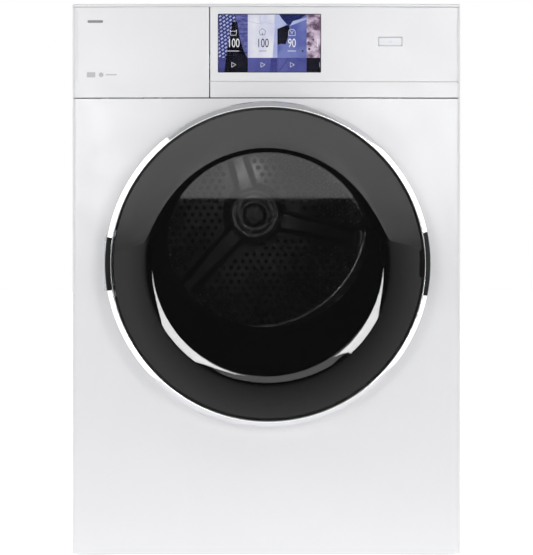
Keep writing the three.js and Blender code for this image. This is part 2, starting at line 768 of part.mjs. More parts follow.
function circlePoints(x, z, radius, count) {
  return Array.from({ length: count }, (_, i) => {
    const angle = (2 * Math.PI * i) / count;
    return point(x + radius * Math.cos(angle), z + radius * Math.sin(angle));
  });
}

function beltOutline(extra) {
  return convexHull([
    ...circlePoints(0, DRUM_Z, DRUM_RADIUS + 1.8 + extra, ROUND),
    ...circlePoints(MOTOR.x, MOTOR.z, PULLEY_RADIUS + 0.7 + extra, 16),
    ...circlePoints(IDLER.x, IDLER.z, IDLER.radius + 0.7 + extra, 16),
  ]);
}

function driveBelt() {
  const outer = new THREE.Shape(beltOutline(BELT_THICKNESS));
  outer.holes.push(new THREE.Path(beltOutline(0)));
  return carried(outer, BELT_Y, BELT_Y + BELT_WIDTH);
}

function motor() {
  const { x, z, radius, y0, y1 } = MOTOR;
  const profile = [
    [6, y0],
    [radius - 6, y0],
    [radius, y0 + 6],
    [radius, y1 - 6],
    [radius - 6, y1],
    [20, y1],
    [20, y1 + 4],
    [6, y1 + 4],
  ];
  return turned(profile, x, z, 20);
}

function motorSaddle() {
  const saddle = box(MOTOR.x - 56, MOTOR.x + 56, 70, 120, TRAY_FLOOR_Z - 2, MOTOR.z - 8);
  return cut(saddle, rod(MOTOR.radius + GAP, 60, 130, MOTOR.x, MOTOR.z, 20));
}

// The upright plate that carries the belt tensioner's pivot pin.
function tensionerPlate() {
  const y = [MOTOR.y1 + 4.6, MOTOR.y1 + 7.6];
  const floor = TRAY_FLOOR_Z - 2;
  const shape = new THREE.Shape([
    point(20, floor),
    point(75, floor),
    point(60, IDLER_PIVOT.z + 8),
    point(28, IDLER_PIVOT.z + 8),
  ]);
  const plate = carried(shape, ...y);
  const pin = rod(4, y[1] - 1, BELT_Y - 0.6, IDLER_PIVOT.x, IDLER_PIVOT.z);
  return join(plate, pin);
}

function idlerArm() {
  const y0 = MOTOR.y1 + 8;
  const y1 = BELT_Y - 3;
  const across = point(IDLER.x - IDLER_PIVOT.x, IDLER.z - IDLER_PIVOT.z);
  const side = point(-across.y, across.x).normalize().multiplyScalar(8);
  const corners = [
    point(IDLER_PIVOT.x + side.x, IDLER_PIVOT.z + side.y),
    point(IDLER.x + side.x, IDLER.z + side.y),
    point(IDLER.x - side.x, IDLER.z - side.y),
    point(IDLER_PIVOT.x - side.x, IDLER_PIVOT.z - side.y),
  ];
  const bar = carried(new THREE.Shape(corners), y0, y1);
  const knuckle = rod(9, y0, y1, IDLER_PIVOT.x, IDLER_PIVOT.z);
  const end = rod(9, y0, y1, IDLER.x, IDLER.z);
  const axle = rod(4, y1 - 1, BELT_Y + BELT_WIDTH + 4, IDLER.x, IDLER.z);
  const bore = rod(4.5, y0 - 5, y1 + 5, IDLER_PIVOT.x, IDLER_PIVOT.z);
  return cut(join(bar, knuckle, end, axle), bore);
}

function idlerPulley() {
  const { x, z, radius } = IDLER;
  const y0 = BELT_Y - 2;
  const y1 = BELT_Y + BELT_WIDTH + 2;
  const profile = [
    [4.5, y0],
    [radius + 3, y0],
    [radius + 3, y0 + 1.4],
    [radius, y0 + 1.6],
    [radius, y1 - 1.6],
    [radius + 3, y1 - 1.4],
    [radius + 3, y1],
    [4.5, y1],
  ];
  return turned(profile, x, z, 24);
}

function motorShaft() {
  const { x, z } = MOTOR;
  const shaft = rod(5, FAN.y1 - 14, BELT_Y + BELT_WIDTH + 8, x, z);
  const pulley = rod(PULLEY_RADIUS, BELT_Y - 3, BELT_Y + BELT_WIDTH + 3, x, z);
  return join(shaft, pulley);
}

// The blower wheel on the motor shaft's front end: a back plate, a hub and curved blades.
function fanWheel() {
  const { x, z } = MOTOR;
  const blades = [];
  const bladeCount = 12;
  for (let i = 0; i < bladeCount; i++) {
    const blade = box(FAN.radius - 20, FAN.radius - 1, FAN.y0, FAN.y1 - 2, -1, 1);
    blade.translate(-FAN.radius + 10, 0, 0).rotateY(0.6).translate(FAN.radius - 10, 0, 0);
    blades.push(blade.rotateY((2 * Math.PI * i) / bladeCount).translate(x, 0, z));
  }
  const plate = ring(5.4, FAN.radius, FAN.y1 - 3, FAN.y1, x, z, 36);
  const hub = ring(5.4, 16, FAN.y1 - 20, FAN.y1 - 1, x, z);
  return join(plate, hub, ...blades);
}

function fanHousing() {
  const { x, z } = MOTOR;
  const y0 = FAN.y0 - 8;
  const y1 = FAN.y1 + 8;
  const shell = rod(FAN.radius + 14, y0, y1, x, z, 36);
  const duct = box(x - 84, x - 20, y0, y1, z + 20, 196);
  const room = rod(FAN.radius + 10, y0 + 3, y1 - 3, x, z, 36);
  const ductRoom = box(x - 81, x - 23, y0 + 3, y1 - 3, z + 20, 210);
  const inlet = rod(42, y0 - 5, y0 + 5, x, z, 24);
  const shaftHole = rod(12, y1 - 10, y1 + 10, x, z);
  const feet = box(x - 40, x + 40, y0, y1, TRAY_FLOOR_Z + GAP, z - FAN.radius - 6);
  return cut(join(shell, duct, feet), join(room, ductRoom), inlet, shaftHole);
}

// ---- heat pump ----
function finBlock(y0, y1) {
  const left = -268;
  const right = -128;
  const bottom = 30;
  const top = 172;
  const fins = 14;
  const pitch = (right - left) / fins;
  const outline = [point(left, bottom), point(right, bottom)];
  for (let i = fins; i > 0; i--) {
    const x = left + i * pitch;
    outline.push(point(x, top), point(x - pitch * 0.4, top));
    if (i > 1) outline.push(point(x - pitch * 0.4, bottom + 14), point(x - pitch, bottom + 14));
  }
  outline.push(point(left, top - 1));
  return carried(new THREE.Shape(outline), y0, y1);
}

function airDuct() {
  const outer = box(-277, -118, -197, 62, TRAY_FLOOR_Z + GAP, 192);
  const inner = box(-274, -121, -210, 70, TRAY_FLOOR_Z + 4, 189);
  return cut(outer, inner);
}

function compressor() {
  const profile = [
    [0, 24],
    [44, 24],
    [58, 34],
    [60, 44],
    [60, 160],
    [54, 178],
    [34, 190],
    [0, 194],
  ];
  const can = new THREE.LatheGeometry(profile.map(([r, z]) => point(r, z)), 24).rotateX(Math.PI / 2);
  const base = box(-70, 70, -50, 50, TRAY_FLOOR_Z + GAP, 26);
  return join(can, base).translate(-200, 165, 0);
}

function cableInlet() {
  const socket = box(-262, -222, BACK_Y + GAP, BACK_Y + 8, 120, 156);
  const opening = box(-256, -228, BACK_Y + 3, BACK_Y + 20, 126, 150);
  return cut(socket, opening);
}

// ---- assembly ----
const dryer = new THREE.Group();

function add(name, geometry, look, place = [0, 0, 0]) {
  const mesh = new THREE.Mesh(toGeometry(toSolid(geometry)), look);
  mesh.name = name;
  mesh.position.set(...place);
  dryer.add(mesh);
}

add("base_tray", baseTray(), greyPlastic);
add("left_side_panel", sidePanel(-1), whitePaint);
add("right_side_panel", sidePanel(1), whitePaint);
add("rear_panel", rearPanel(), zincSteel);
add("rear_duct_cover", rearCover(), zincSteel);
add("top_cover", topCover(), whitePaint);
add("front_panel", frontPanel(), whitePaint);
footPlaces().forEach(([x, y], i) => add(`levelling_foot_${i + 1}`, foot(), rubber, [x, y, 0]));

add("control_panel", controlPanel(), whitePlastic);
add("display_frame", displayFrame(), darkPlastic);
add("display_panel", displayPanel(), litScreen);
add("display_glass", displayGlass(), blackGlass);
add("power_button", powerKey(), whitePlastic);
add("control_board", controlBoard(), boardGreen);

add("drawer_front", drawerFront(), whitePlastic);
add("water_tank", waterTank(), palePlastic);
add("tank_housing", tankHousing(), greyPlastic);
add("tank_fill_hose", tankHose(), rubber);
add("condensate_pump", condensatePump(), darkPlastic);

add("front_bulkhead", frontBulkhead(), greyPlastic);
rollerPlaces().forEach((place, i) => add(`drum_roller_${i + 1}`, drumRoller(place), darkPlastic));
add("door_seal", doorSeal(), rubber);
add("lint_filter", lintFilter(), darkPlastic);
add("door_lock", doorLock(), darkPlastic);

add("door_ring", doorRing(), chrome);
add("door_grip", sideInsert(1), darkPlastic);
add("hinge_cap", sideInsert(-1), darkPlastic);
add("door_cover", doorCover(), smokedPlastic);
add("door_frame", doorFrame(), darkPlastic);
add("door_glass", doorGlass(), glass);
add("latch_hook", latchHook(), zincSteel);
add("hinge_arm", hingeArm(), zincSteel);
add("hinge_bracket", hingeBracket(), zincSteel);
add("hinge_pin", hingePin(), zincSteel);

add("drum_shell", drumShell(), drumSteel);
add("drum_rear_wall", drumRearWall(), drumSteel);
BAFFLE_ANGLES.forEach((degrees, i) => add(`drum_baffle_${i + 1}`, drumBaffle(degrees), greyPlastic));
add("drum_spider", drumSpider(), aluminium);
add("rear_bulkhead", rearBulkhead(), zincSteel);
add("rear_felt_ring", rearFelt(), felt);
add("bearing_housing", bearingHousing(), zincSteel);
add("drum_bearing", drumBearing(), zincSteel);

add("drive_belt", driveBelt(), rubber);
add("motor", motor(), blackPaint);
add("motor_shaft", motorShaft(), zincSteel);
add("idler_arm", idlerArm(), zincSteel);
add("idler_pulley", idlerPulley(), darkPlastic);
add("fan_wheel", fanWheel(), darkPlastic);
add("fan_housing", fanHousing(), greyPlastic);

add("evaporator", finBlock(-188, -112), aluminium);
add("condenser", finBlock(-98, 45), aluminium);
add("air_duct", airDuct(), greyPlastic);
add("compressor", compressor(), blackPaint);
add("cable_inlet", cableInlet(), darkPlastic);

export default dryer;
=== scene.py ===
"""A compact tumble dryer with a round smoked door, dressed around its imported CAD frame."""
import json
import math
from math import cos, pi, radians, sin

import bmesh
import bpy
from mathutils import Matrix, Vector


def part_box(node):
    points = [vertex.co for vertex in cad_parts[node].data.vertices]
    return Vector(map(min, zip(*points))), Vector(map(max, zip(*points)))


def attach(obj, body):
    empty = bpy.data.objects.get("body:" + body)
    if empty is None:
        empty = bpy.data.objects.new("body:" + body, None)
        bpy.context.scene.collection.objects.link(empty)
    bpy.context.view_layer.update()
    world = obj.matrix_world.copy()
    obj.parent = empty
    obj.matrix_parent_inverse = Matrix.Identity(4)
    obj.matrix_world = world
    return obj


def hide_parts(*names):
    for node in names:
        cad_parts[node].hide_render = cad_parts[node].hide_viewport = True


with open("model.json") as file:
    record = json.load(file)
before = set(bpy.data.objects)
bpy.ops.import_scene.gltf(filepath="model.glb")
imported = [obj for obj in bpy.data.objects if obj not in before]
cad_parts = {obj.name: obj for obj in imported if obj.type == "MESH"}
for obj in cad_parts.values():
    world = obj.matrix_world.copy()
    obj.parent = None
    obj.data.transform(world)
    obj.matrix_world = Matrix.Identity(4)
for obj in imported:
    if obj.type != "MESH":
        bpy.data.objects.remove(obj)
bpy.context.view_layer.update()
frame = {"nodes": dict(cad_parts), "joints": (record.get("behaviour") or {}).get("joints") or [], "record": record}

SIDES = (("left", -1), ("right", 1))
MM = 0.001  # shapes are worked out in millimetres, materials and the studio in metres
ROUND = 192  # sides of a large round piece
SMALL_ROUND = 48


def box(node):
    """The two corners of a CAD node's box."""
    return [Vector(corner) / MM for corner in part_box(node)]


# ---- measures of the frame ----
TOP_LO, TOP_HI = box("top_cover")
HALF_WIDTH = TOP_HI.x
HEIGHT = TOP_HI.z
FRONT_Y = TOP_LO.y  # the middle of the bowed front
BOW = 5
CORNER = 6
PANEL_LO, PANEL_HI = box("front_panel")
RETURN_Y = PANEL_HI.y
FASCIA_LO, FASCIA_HI = box("control_panel")
DRAWER_LO, DRAWER_HI = box("drawer_front")
DISPLAY_LO, DISPLAY_HI = box("display_glass")
KEY_LO, KEY_HI = box("power_button")
RING_LO, RING_HI = box("door_ring")
DOOR_Z = (RING_LO.z + RING_HI.z) / 2
DOOR_RADIUS = (RING_HI.z - RING_LO.z) / 2
RIM_RADIUS = DOOR_RADIUS - 11
WINDOW_RADIUS = 172
OPENING_RADIUS = 180
PORTHOLE_RADIUS = 192
WINDOW_Y = FRONT_Y - 9  # the front of the cover's flat window
BEND_INNER = WINDOW_RADIUS - 5  # the dish bends up from the window here
BEND_WIDTH = 22
BEND_SLOPE = 0.5
FLANK_GAIN = 0.0021  # per millimetre: the flank steepens a little towards the rim
JOINTS = {joint["name"]: joint for joint in frame["joints"]}
DRUM_Z = JOINTS["drum_spin"]["pos_m"][2] / MM
DRUM_LO, DRUM_HI = box("drum_shell")
DRUM_RADIUS = (DRUM_HI.z - DRUM_LO.z) / 2
WALL_HI_Y = box("drum_rear_wall")[1].y
WALL_Y = WALL_HI_Y - 3
WALL_RADIUS = DRUM_RADIUS - 54
MOUTH_RADIUS = DRUM_RADIUS - 13  # the drum's front opening
HUB_RADIUS = 64  # no holes inside this
SPOKE_ANGLES = (107, 227, 347)
BAFFLE_ANGLES = (47, 167, 287)
GROOVE_Z = 730
GROOVE = 1.2


# ---- materials ----
def color4(color):
    return (*color, 1.0)


def scaled(color, factor):
    return tuple(min(1.0, channel * factor) for channel in color)


def add_node(tree, kind, inputs=None, **settings):
    node = tree.nodes.new("ShaderNode" + kind)
    for name, value in settings.items():
        setattr(node, name, value)
    for name, value in (inputs or {}).items():
        node.inputs[name].default_value = value
    return node


def link(output, socket):
    output.id_data.links.new(output, socket)


def coordinates(tree, stretch=(1, 1, 1), turn=(0, 0, 0)):
    place = add_node(tree, "TexCoord")
    mapping = add_node(tree, "Mapping", {"Scale": stretch, "Rotation": turn})
    link(place.outputs["Object"], mapping.inputs["Vector"])
    return mapping.outputs["Vector"]


def noise_value(tree, vector, scale, detail=3.0):
    texture = add_node(tree, "TexNoise", {"Scale": scale, "Detail": detail})
    link(vector, texture.inputs["Vector"])
    return texture.outputs["Fac"]


def mixed_color(tree, factor, low, high):
    mix = add_node(tree, "Mix", data_type="RGBA")
    link(factor, mix.inputs["Factor"])
    mix.inputs["A"].default_value = color4(low)
    mix.inputs["B"].default_value = color4(high)
    return mix.outputs["Result"]


def ranged(tree, value, low, high, start=0.3, end=0.7):
    inputs = {"From Min": start, "From Max": end, "To Min": low, "To Max": high}
    node = add_node(tree, "MapRange", inputs)
    link(value, node.inputs["Value"])
    return node.outputs["Result"]


def bumped(tree, shader, height, strength, depth):
    bump = add_node(tree, "Bump", {"Strength": strength, "Distance": depth})
    link(height, bump.inputs["Height"])
    link(bump.outputs["Normal"], shader.inputs["Normal"])


def blank(name, metallic=0.0, **sockets):
    mat = bpy.data.materials.new(name)
    mat.use_nodes = True
    shader = mat.node_tree.nodes["Principled BSDF"]
    shader.inputs["Metallic"].default_value = metallic
    for socket, value in sockets.items():
        shader.inputs[socket.replace("_", " ")].default_value = value
    return mat, mat.node_tree, shader


def finish(name, color, rough, metallic=0.0, grain=900, bump=0.1, depth=0.05, tone=0.03, wear=0.04,
           stretch=(1, 1, 1), **sockets):
    """A surface whose tone and gloss drift slowly, with a fine grain in relief."""
    mat, tree, shader = blank(name, metallic, **sockets)
    drift = ranged(tree, noise_value(tree, coordinates(tree), 9, 5.0), 0, 1)
    tint = mixed_color(tree, drift, scaled(color, 1 - tone), scaled(color, 1 + tone))
    link(tint, shader.inputs["Base Color"])
    gloss = noise_value(tree, coordinates(tree, stretch), 27, 6.0)
    link(ranged(tree, gloss, rough - wear, rough + wear), shader.inputs["Roughness"])
    bumped(tree, shader, noise_value(tree, coordinates(tree, stretch), grain), bump, depth * MM)
    return mat


def spangled(name, color, rough):
    """Zinc plate: crystals of slightly different brightness."""
    mat, tree, shader = blank(name, 0.9)
    vector = coordinates(tree)
    cells = add_node(tree, "TexVoronoi", {"Scale": 130.0})
    link(vector, cells.inputs["Vector"])
    split = add_node(tree, "SeparateColor")
    link(cells.outputs["Color"], split.inputs["Color"])
    shade = mixed_color(tree, split.outputs["Red"], scaled(color, 0.92), scaled(color, 1.06))
    link(shade, shader.inputs["Base Color"])
    link(ranged(tree, split.outputs["Green"], rough, rough + 0.16, 0, 1), shader.inputs["Roughness"])
    bumped(tree, shader, noise_value(tree, vector, 700.0), 0.12, 0.05 * MM)
    return mat


def board(name):
    """A circuit board's solder mask with raised tracks."""
    mat, tree, shader = blank(name, Roughness=0.32)
    colors = {"Color1": (0.012, 0.11, 0.045, 1), "Color2": (0.010, 0.08, 0.036, 1)}
    colors["Mortar"] = (0.03, 0.20, 0.09, 1)
    tracks = add_node(tree, "TexBrick", {"Scale": 150.0, "Mortar Size": 0.12, **colors})
    link(coordinates(tree, turn=(pi / 2, 0, 0)), tracks.inputs["Vector"])
    link(tracks.outputs["Color"], shader.inputs["Base Color"])
    bumped(tree, shader, tracks.outputs["Fac"], 0.2, 0.05 * MM)
    return mat


def lit_blank(name, strength=0.9):
    return blank("screen_" + name, Roughness=0.4, Specular_IOR_Level=0.0, Emission_Strength=strength,
                 Base_Color=(0, 0, 0, 1))


def screen(name, low, high, scale=60.0, stretch=(1, 1, 1), turn=0.0, start=0.35, end=0.65, strength=0.9):
    """A lit picture surface, from one colour to another."""
    mat, tree, shader = lit_blank(name, strength)
    value = noise_value(tree, coordinates(tree, stretch, (0, turn, 0)), scale, 4.0)
    color = mixed_color(tree, ranged(tree, value, 0, 1, start, end), low, high)
    link(color, shader.inputs["Emission Color"])
    return mat


def woven_screen(name, low, high):
    """A lit picture of a cloth with short slanting dashes."""
    mat, tree, shader = lit_blank(name)
    colors = {"Color1": color4(high), "Color2": color4(scaled(high, 0.7)), "Mortar": color4(low)}
    dashes = add_node(tree, "TexBrick", {"Scale": 52.0, "Mortar Size": 0.06, "Brick Width": 0.32, **colors})
    flat = coordinates(tree, turn=(pi / 2, 0, 0))
    slant = add_node(tree, "VectorRotate", {"Angle": 0.65}, rotation_type="Z_AXIS")
    link(flat, slant.inputs["Vector"])
    link(slant.outputs["Vector"], dashes.inputs["Vector"])
    link(dashes.outputs["Color"], shader.inputs["Emission Color"])
    return mat


WHITE = (0.80, 0.80, 0.815)
SMOKE = (0.004, 0.004, 0.0045)
LOOKS = {
    "white_paint": finish("white_enamel", WHITE, 0.33, grain=420, bump=0.06, depth=0.04, tone=0.008),
    "white_plastic": finish("white_moulding", scaled(WHITE, 1.02), 0.38, grain=1500, bump=0.06, tone=0.006),
    "grey_plastic": finish("grey_moulding", (0.22, 0.225, 0.235), 0.55, grain=1300, bump=0.25, tone=0.06),
    "dark_plastic": finish("black_moulding", (0.012, 0.012, 0.013), 0.42, grain=1600, bump=0.2, tone=0.12),
    "pale_plastic": finish("natural_moulding", (0.62, 0.66, 0.70), 0.3, grain=500, bump=0.08, tone=0.05),
    "chrome": finish("chrome_plate", (0.88, 0.885, 0.90), 0.06, 1.0, grain=160, bump=0.002, tone=0.01,
                     wear=0.02),
    "smoked_plastic": finish("smoked_cover", SMOKE, 0.03, grain=120, bump=0.001, tone=0.1, wear=0.01,
                             IOR=2.05, Alpha=0.50),
    "door_glass": finish("pressed_glass", (0.02, 0.024, 0.023), 0.015, grain=45, bump=0.02, tone=0.02,
                         wear=0.01, IOR=1.7, Alpha=0.10),
    "rubber": finish("black_rubber", (0.018, 0.018, 0.019), 0.75, grain=1100, bump=0.35, tone=0.15,
                     wear=0.08),
    "felt": finish("wool_felt", (0.42, 0.40, 0.35), 0.95, grain=2600, bump=0.8, depth=0.4, tone=0.18,
                   Sheen_Weight=0.4),
    "zinc_steel": spangled("zinc_plate", (0.50, 0.52, 0.54), 0.30),
    "drum_steel": finish("drum_steel", (0.42, 0.43, 0.43), 0.20, 1.0, grain=260, bump=0.06, depth=0.03,
                         tone=0.05, wear=0.05, stretch=(1, 14, 1)),
    "aluminium": finish("mill_aluminium", (0.66, 0.67, 0.69), 0.38, 1.0, grain=600, bump=0.1, tone=0.06),
    "black_paint": finish("black_enamel", (0.016, 0.016, 0.018), 0.36, grain=500, bump=0.12, tone=0.15),
    "circuit_board": board("solder_mask"),
    "black_glass": finish("touch_glass", (0.02, 0.02, 0.03), 0.03, grain=90, bump=0.003, tone=0.05,
                          wear=0.01, IOR=1.5, Alpha=0.06),
    "lit_screen": screen("back", (0.02, 0.02, 0.06), (0.05, 0.06, 0.16)),
}
BLACK_GLOSS = finish("black_gloss_moulding", (0.004, 0.004, 0.004), 0.22, bump=0.03, tone=0.2, IOR=1.12)
# black print behind the cover's dish, also used for the painted shade round the window
BLACK_PRINT_AND_PAINTED_SHADE = finish("black_print_and_painted_shade", (0.002, 0.002, 0.002), 0.6, grain=300, tone=0.2, Specular_IOR_Level=0.1)


# ---- making pieces ----
def add_object(name, data):
    obj = bpy.data.objects.new(name, data)
    bpy.context.scene.collection.objects.link(obj)
    return obj


def from_faces(name, verts, faces):
    """One object from points and faces, with doubles merged and the faces turned outward."""
    mesh = bpy.data.meshes.new(name)
    mesh.from_pydata([tuple(c * MM for c in v) for v in verts], [], faces)
    edit = bmesh.new()
    edit.from_mesh(mesh)
    bmesh.ops.remove_doubles(edit, verts=edit.verts, dist=1e-6)
    bmesh.ops.dissolve_degenerate(edit, edges=edit.edges, dist=1e-7)
    bmesh.ops.recalc_face_normals(edit, faces=edit.faces)
    edit.to_mesh(mesh)
    edit.free()
    return add_object(name, mesh)


def settle(obj):
    """Applies an object's modifiers to its mesh."""
    bpy.context.view_layer.update()
    graph = bpy.context.evaluated_depsgraph_get()
    mesh = bpy.data.meshes.new_from_object(obj.evaluated_get(graph))
    obj.modifiers.clear()
    obj.data = mesh
    return obj


def combine(obj, tool, operation):
    change = obj.modifiers.new(operation.lower(), "BOOLEAN")
    change.operation = operation
    change.solver = "MANIFOLD"
    change.object = tool
    settle(obj)
    bpy.data.objects.remove(tool)
    return obj


def carve(obj, *tools):
    for tool in tools:
        combine(obj, tool, "DIFFERENCE")
    return obj


def add_bevel(obj, width, angle, segments=2):
    bevel = obj.modifiers.new("soft_edges", "BEVEL")
    bevel.width = width * MM
    bevel.segments = segments
    bevel.limit_method = "ANGLE"
    bevel.angle_limit = radians(angle)
    return bevel


def soften_edges(obj, width, segments=2, angle=30):
    add_bevel(obj, width, angle, segments).miter_outer = "MITER_ARC"
    return settle(obj)


def shade(obj, angle=32):
    """Smooth within an angle, with each flat face kept flat up to its rounded edge."""
    obj.data.shade_smooth()
    obj.data.set_sharp_from_angle(angle=radians(angle))
    even = obj.modifiers.new("even_shading", "WEIGHTED_NORMAL")
    even.keep_sharp = True
    return settle(obj)


def piece(obj, body, slot, *nodes, look=None, angle=32, soft=0):
    """Gives an object its rounding, its material (its slot's look unless another is given) and its body, and hides
    the CAD nodes it stands for.
    """
    if soft:
        soften_edges(obj, soft)
    obj.data.materials.clear()
    obj.data.materials.append(look or LOOKS[slot])
    shade(obj, angle)
    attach(obj, body)
    if nodes:
        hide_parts(*nodes)
    return obj


def smooth_step(t):
    t = min(1.0, max(0.0, t))
    return t * t * (3 - 2 * t)


def on_circle(x, z, radius, angle):
    return (x + radius * cos(angle), z + radius * sin(angle))


def rounded_profile(profile, radius, steps=3):
    """A closed section with its corners rounded. Points on the axis stay."""
    result = []
    for i, corner in enumerate(profile):
        here = Vector(corner)
        back = Vector(profile[i - 1]) - here
        on = Vector(profile[(i + 1) % len(profile)]) - here
        if here.x < 1e-6 or back.angle(on) > radians(172):
            result.append(tuple(here))
            continue
        cut = min(radius, back.length * 0.45, on.length * 0.45)
        start = here + back.normalized() * cut
        end = here + on.normalized() * cut
        for k in range(steps + 1):
            t = k / steps
            result.append(tuple(start * (1 - t) ** 2 + here * 2 * t * (1 - t) + end * t * t))
    return result


def lathe(name, profile, x, z, sides=ROUND):
    """Turns a closed section of (radius, y) points about a line along Y."""
    count = len(profile)
    verts = []
    for i in range(sides):
        angle = 2 * pi * i / sides
        verts += [(x + radius * cos(angle), y, z + radius * sin(angle)) for radius, y in profile]
    faces = grid_faces(count, sides, closed=True)
    last = (sides - 1) * count
    faces += [(last + j, last + (j + 1) % count, (j + 1) % count, j) for j in range(count)]
    return from_faces(name, verts, faces)


def grid_faces(columns, rows, start=0, closed=False):
    """The quads between rows of points, and from the last column back to the first if closed."""
    faces = []
    for j in range(rows - 1):
        for i in range(columns if closed else columns - 1):
            a = start + j * columns + i
            b = start + j * columns + (i + 1) % columns
            faces.append((a, b, b + columns, a + columns))
    return faces


def upright_lathe(name, profile, x, y, sides=SMALL_ROUND):
    """Turns a closed section of (radius, z) points about an upright line."""
    obj = lathe(name, profile, 0, 0, sides)
    obj.data.transform(Matrix.Translation((x * MM, y * MM, 0)) @ Matrix.Rotation(pi / 2, 4, "X"))
    return obj


def turned(name, points, rounding, start, z, steps=3, sides=ROUND):
    """A lathe about a line at height z, its rounded section given from a starting (radius, y)."""
    profile = [(start[0] + a, start[1] + b) for a, b in points]
    return lathe(name, rounded_profile(profile, rounding, steps), 0, z, sides)


def disc(name, radius, y0, y1, x, z):
    return lathe(name, [(0, y0), (radius, y0), (radius, y1), (0, y1)], x, z)


def prism(name, outline, low, high, axis):
    """An outline of (y, z), (x, z) or (x, y) points carried along the third axis."""
    def place(point, level):
        where = list(point)
        where.insert("XYZ".index(axis), level)
        return where

    count = len(outline)
    verts = [place(p, low) for p in outline] + [place(p, high) for p in outline]
    faces = [(i, (i + 1) % count, count + (i + 1) % count, count + i) for i in range(count)]
    faces += [tuple(range(count)), tuple(range(2 * count - 1, count - 1, -1))]
    return from_faces(name, verts, faces)


def block(name, lo, hi):
    outline = [(lo[0], lo[2]), (hi[0], lo[2]), (hi[0], hi[2]), (lo[0], hi[2])]
    return prism(name, outline, lo[1], hi[1], "Y")


def rounded_rect(x0, x1, z0, z1, radius, steps=6):
    points = []
    for cx, cz, start in ((x1, z1, 0), (x0, z1, 90), (x0, z0, 180), (x1, z0, 270)):
        cx += -radius if cx == x1 else radius
        cz += -radius if cz == z1 else radius
        points += [on_circle(cx, cz, radius, radians(start + 90 * k / steps)) for k in range(steps + 1)]
    return points


def circle(x, z, radius, count=20):
    return [on_circle(x, z, radius, 2 * pi * i / count) for i in range(count)]


def box_outline(lo, hi, margin, radius, steps=6):
    """The rounded front outline of a box, grown by a margin."""
    return rounded_rect(lo.x - margin, hi.x + margin, lo.z - margin, hi.z + margin, radius, steps)


def joined(name, objects):
    """Several meshes as one object."""
    edit = bmesh.new()
    for obj in objects:
        edit.from_mesh(obj.data)
        bpy.data.objects.remove(obj)
    mesh = bpy.data.meshes.new(name)
    edit.to_mesh(mesh)
    edit.free()
    return add_object(name, mesh)


def screw_head(x, y, z, r, sign):
    """A pan-head screw with a cross recess, on a face whose outward side is sign * Y."""
    profile = [(0, 0), (r, 0), (r, 0.25 * r), (0.8 * r, 0.5 * r), (0.45 * r, 0.62 * r), (0, 0.66 * r)]
    head = lathe("screw", [(a, y + sign * b) for a, b in profile], x, z, 24)
    depth = sorted((y + sign * 0.3 * r, y + sign * 0.7 * r))
    for half_x, half_z in ((0.55 * r, 0.12 * r), (0.12 * r, 0.55 * r)):
        lo = (x - half_x, depth[0], z - half_z)
        hi = (x + half_x, depth[1], z + half_z)
        carve(head, block("recess", lo, hi))
    return head


def screw_circle(name, body, slot, count, first, reach, y, z, radius, sign):
    """Screws spaced evenly on a circle about a line along Y, the first at an angle in degrees."""
    places = [on_circle(0, z, reach, radians(first + 360 * i / count)) for i in range(count)]
    piece(joined(name, [screw_head(a, y, b, radius, sign) for a, b in places]), body, slot)


# ---- the bowed front ----
def front_y(x):
    return FRONT_Y + BOW * (x / HALF_WIDTH) ** 2


def skin_edge(x0, x1, inset, back_y):
    """One edge of a front skin, wrapped round the cabinet's corners where it reaches them."""
    wraps = (x0 < -HALF_WIDTH + 0.1, x1 > HALF_WIDTH - 0.1)
    first = x0 + CORNER if wraps[0] else x0
    last = x1 - CORNER if wraps[1] else x1
    radius = CORNER - inset
    bow_steps = 48
    corner_steps = 8

    def corner(sign):
        x = sign * (HALF_WIDTH - CORNER)
        y = front_y(x) + CORNER
        turns = [pi / 2 * k / corner_steps for k in range(corner_steps)]
        return [(x + sign * radius * cos(a), y - radius * sin(a)) for a in turns]

    points = [(x0 + inset, back_y)] + corner(-1) if wraps[0] else []
    for i in range(bow_steps + 1):
        x = first + (last - first) * i / bow_steps
        points.append((x, front_y(x) + inset))
    if wraps[1]:
        points += corner(1)[::-1] + [(x1 - inset, back_y)]
    return points


def front_skin(name, x0, x1, z0, z1, thickness, outside=0.0):
    outer = skin_edge(x0, x1, -outside, RETURN_Y)
    inner = skin_edge(x0, x1, thickness, RETURN_Y)
    return prism(name, outer + inner[::-1], z0, z1, "Z")


def level_groove(x0, x1, depth, width):
    return front_skin("groove", x0, x1, GROOVE_Z, GROOVE_Z + width, depth, 1)


def upright_groove(x, depth):
    return block("groove", (x, FRONT_Y - 5, GROOVE_Z), (x + GROOVE, front_y(x) + depth, HEIGHT))


def front_panel():
    panel = front_skin("front_panel_sheet", -HALF_WIDTH, HALF_WIDTH, PANEL_LO.z, PANEL_HI.z, 2)
    depth = (FRONT_Y - 20, FRONT_Y + 20)
    carve(panel, disc("porthole", PORTHOLE_RADIUS, *depth, 0, DOOR_Z))
    slot = rounded_rect(199, 215, DOOR_Z - 11, DOOR_Z + 11, 2)
    carve(panel, prism("latch_slot", slot, *depth, "Y"))
    piece(panel, "cabinet", "white_paint", "front_panel", soft=0.6)


def control_panel():
    x0 = FASCIA_LO.x
    panel = front_skin("fascia", x0, HALF_WIDTH, FASCIA_LO.z, FASCIA_HI.z, 3)
    depth = (FRONT_Y - 10, FRONT_Y + 12)
    window = box_outline(DISPLAY_LO, DISPLAY_HI, 1, 1.2)
    key = box_outline(KEY_LO, KEY_HI, 0.5, 1.2)
    carve(panel, prism("window", window, *depth, "Y"), prism("key_hole", key, *depth, "Y"))
    carve(panel, level_groove(x0, HALF_WIDTH, 1.8, GROOVE), upright_groove(291.8, GROOVE))
    piece(panel, "cabinet", "white_plastic", "control_panel", soft=0.25)


